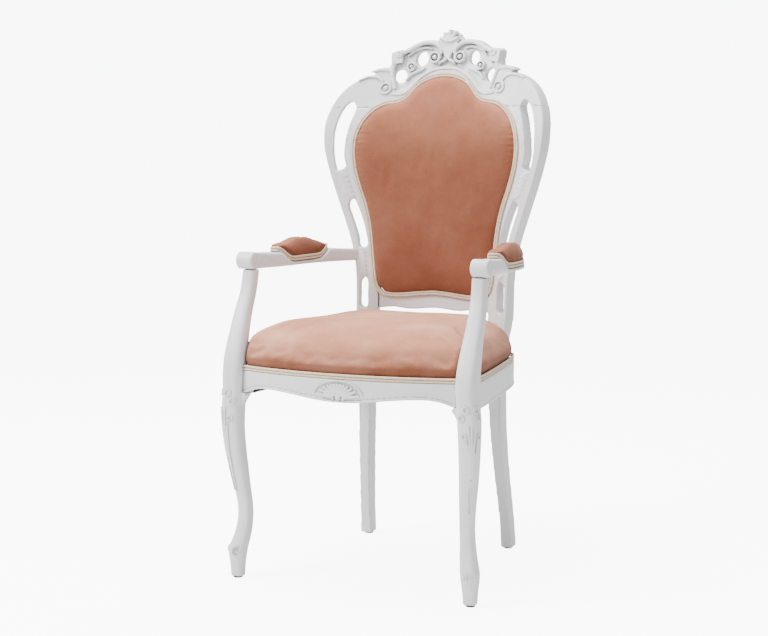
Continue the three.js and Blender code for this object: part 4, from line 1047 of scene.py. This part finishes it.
def inflate(piece, pinned):
    """Blows a cover up as cloth, as free at each point as it isn't pinned."""
    group = piece.vertex_groups.new(name="held")
    for i in np.nonzero(pinned > 0)[0]:
        group.add([int(i)], float(pinned[i]), "REPLACE")
    cloth = piece.modifiers.new("cloth", "CLOTH")
    settings = cloth.settings
    settings.vertex_group_mass = "held"
    settings.use_pressure = True
    settings.uniform_pressure_force = CLOTH_PRESSURE
    settings.effector_weights.gravity = 0
    settings.tension_stiffness = settings.compression_stiffness = 20
    settings.shear_stiffness = 12
    settings.bending_stiffness = 2
    cloth.collision_settings.use_collision = False
    cloth.point_cache.frame_end = CLOTH_FRAMES
    scene = bpy.context.scene
    for step in range(1, CLOTH_FRAMES + 1):
        scene.frame_set(step)
    applied(piece)
    scene.frame_set(1)


def held_below(low, high):
    """Holds a cover up to one height and lets it go from another on."""
    return lambda points: 1 - smoothstep(points[:, 2], low, high)


def held_at_edge(points):
    """Holds a cover of the back where the braid covers its edge."""
    edge = offset(PANEL, BACK_EDGE_IN, closed=True)[::2]
    return 1 - smoothstep(distance_to(edge, points[:, 0], points[:, 2]), BACK_HELD_TO, BACK_FREE_FROM)


def build_cushions():
    cushion("seat_pad", "seat_cushion", 7.0, 5.0, held_below(SEAT_HELD_TO, SEAT_FREE_FROM), SEAT_SUEDE_PAINTED_LIT)
    cushion("back_pad", "back_cushion", 6.0, 4.0, held_at_edge, BACK_SUEDE, back_creases)
    cushion("outside_back_panel", "outside_back_cover", 6.0, 4.0, held_at_edge, BACK_SUEDE)
    for side in ("right", "left"):
        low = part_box(f"arm_pad_{side}")[0][2] / MM
        cushion(f"arm_pad_{side}", f"arm_cushion_{side}", 3.2, 2.0,
                held_below(low + ARM_HELD_TO, low + ARM_FREE_FROM), BACK_SUEDE, fuller_arm_pad)


def build_dust_cover():
    """Black cloth stretched and tacked under the seat frame, with slack that sags in soft waves."""
    material = woven("black_cloth", (0.02, 0.02, 0.022), (0.006, 0.006, 0.007), 400)
    low, high = (np.array(corner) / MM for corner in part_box("dust_cover"))
    piece = linked("dust_cover_cloth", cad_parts["dust_cover"].data.copy())
    finer = piece.modifiers.new("finer", "SUBSURF")
    finer.subdivision_type = "SIMPLE"
    finer.levels = 3
    applied(piece)
    points = get_points(piece.data)
    x, y, _ = points.T
    along = np.clip((y - low[1]) / (high[1] - low[1]), 0, 1)
    half = high[0] * (1 - 0.28 * along)
    slack = np.clip(1 - (x / half) ** 2, 0, 1) * np.clip(4 * along * (1 - along), 0, 1)
    points[:, 2] -= slack * (5 + 0.7 * np.sin(x * 0.045 + y * 0.02) + 0.5 * np.sin(y * 0.06))
    set_points(piece.data, points)
    finish_piece(piece, ["dust_cover"], material)


def dress_plain_nodes():
    """Materials for the nodes that keep their own shape."""
    jute = woven("jute_webbing", (0.42, 0.29, 0.15), (0.22, 0.14, 0.07), 240)
    materials = {"webbing": jute, "corner_block": beech(), "glide": nylon()}
    for name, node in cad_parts.items():
        for kind, material in materials.items():
            if kind in name:
                node.data.materials.clear()
                node.data.materials.append(material)


# Studio
def glow_strength(tree, on_chair, to_camera):
    """Strength of a glow that the camera sees brighter than it falls on the chair."""
    seen = add_node(tree, "ShaderNodeLightPath").outputs["Is Camera Ray"]
    return add_node(tree, "ShaderNodeMapRange", inputs={
        "Value": seen, "To Min": on_chair, "To Max": to_camera,
    }).outputs[0]


def build_studio():
    corners = np.array([(-1, -1, 0), (1, -1, 0), (1, 1, 0), (-1, 1, 0)], float)
    floor = mesh_object("studio_floor", FLOOR_HALF * corners, [(0, 1, 2, 3)])
    material, tree, shader = new_material("pale_floor", (0.93, 0.93, 0.93), 0.7)
    shader.inputs["Emission Color"].default_value = (1, 1, 1, 1)
    tree.links.new(glow_strength(tree, *FLOOR_GLOW), shader.inputs["Emission Strength"])
    floor.data.materials.append(material)
    world = bpy.data.worlds.new("studio")
    world.use_nodes = True
    glow = world.node_tree.nodes["Background"]
    glow.inputs["Color"].default_value = (0.97, 0.98, 1, 1)
    world.node_tree.links.new(glow_strength(world.node_tree, *WORLD_GLOW), glow.inputs["Strength"])
    bpy.context.scene.world = world
    for name, place, size, power in (
        ("key", (-2.0, -1.9, 2.9), 1.3, 190), ("top", (-0.2, 0.1, 3.2), 1.6, 130),
    ):
        light = bpy.data.lights.new(name, "AREA")
        light.size = size
        light.energy = power
        lamp = linked(name, light)
        lamp.location = place
        lamp.rotation_euler = (Vector(LAMPS_AIM) - Vector(place)).to_track_quat("-Z", "Y").to_euler()


def place_camera():
    lens = bpy.data.cameras.new("view")
    lens.lens = LENS
    lens.sensor_width = SENSOR_WIDTH
    camera = linked("view", lens)
    camera.location = (CAMERA_X, CAMERA_Y + CENTRING * MM, CAMERA_Z)
    camera.rotation_euler = (math.radians(CAMERA_TILT), 0, math.radians(CAMERA_TURN))
    bpy.context.scene.camera = camera


build_stiles()
build_lower_rail()
build_crest()
build_front_legs()
build_front_rail()
build_side_rails()
build_rear_rail()
build_arms()
build_seat_braid()
build_back_braid()
build_arm_braid()
build_cushions()
build_dust_cover()
dress_plain_nodes()
build_studio()
place_camera()
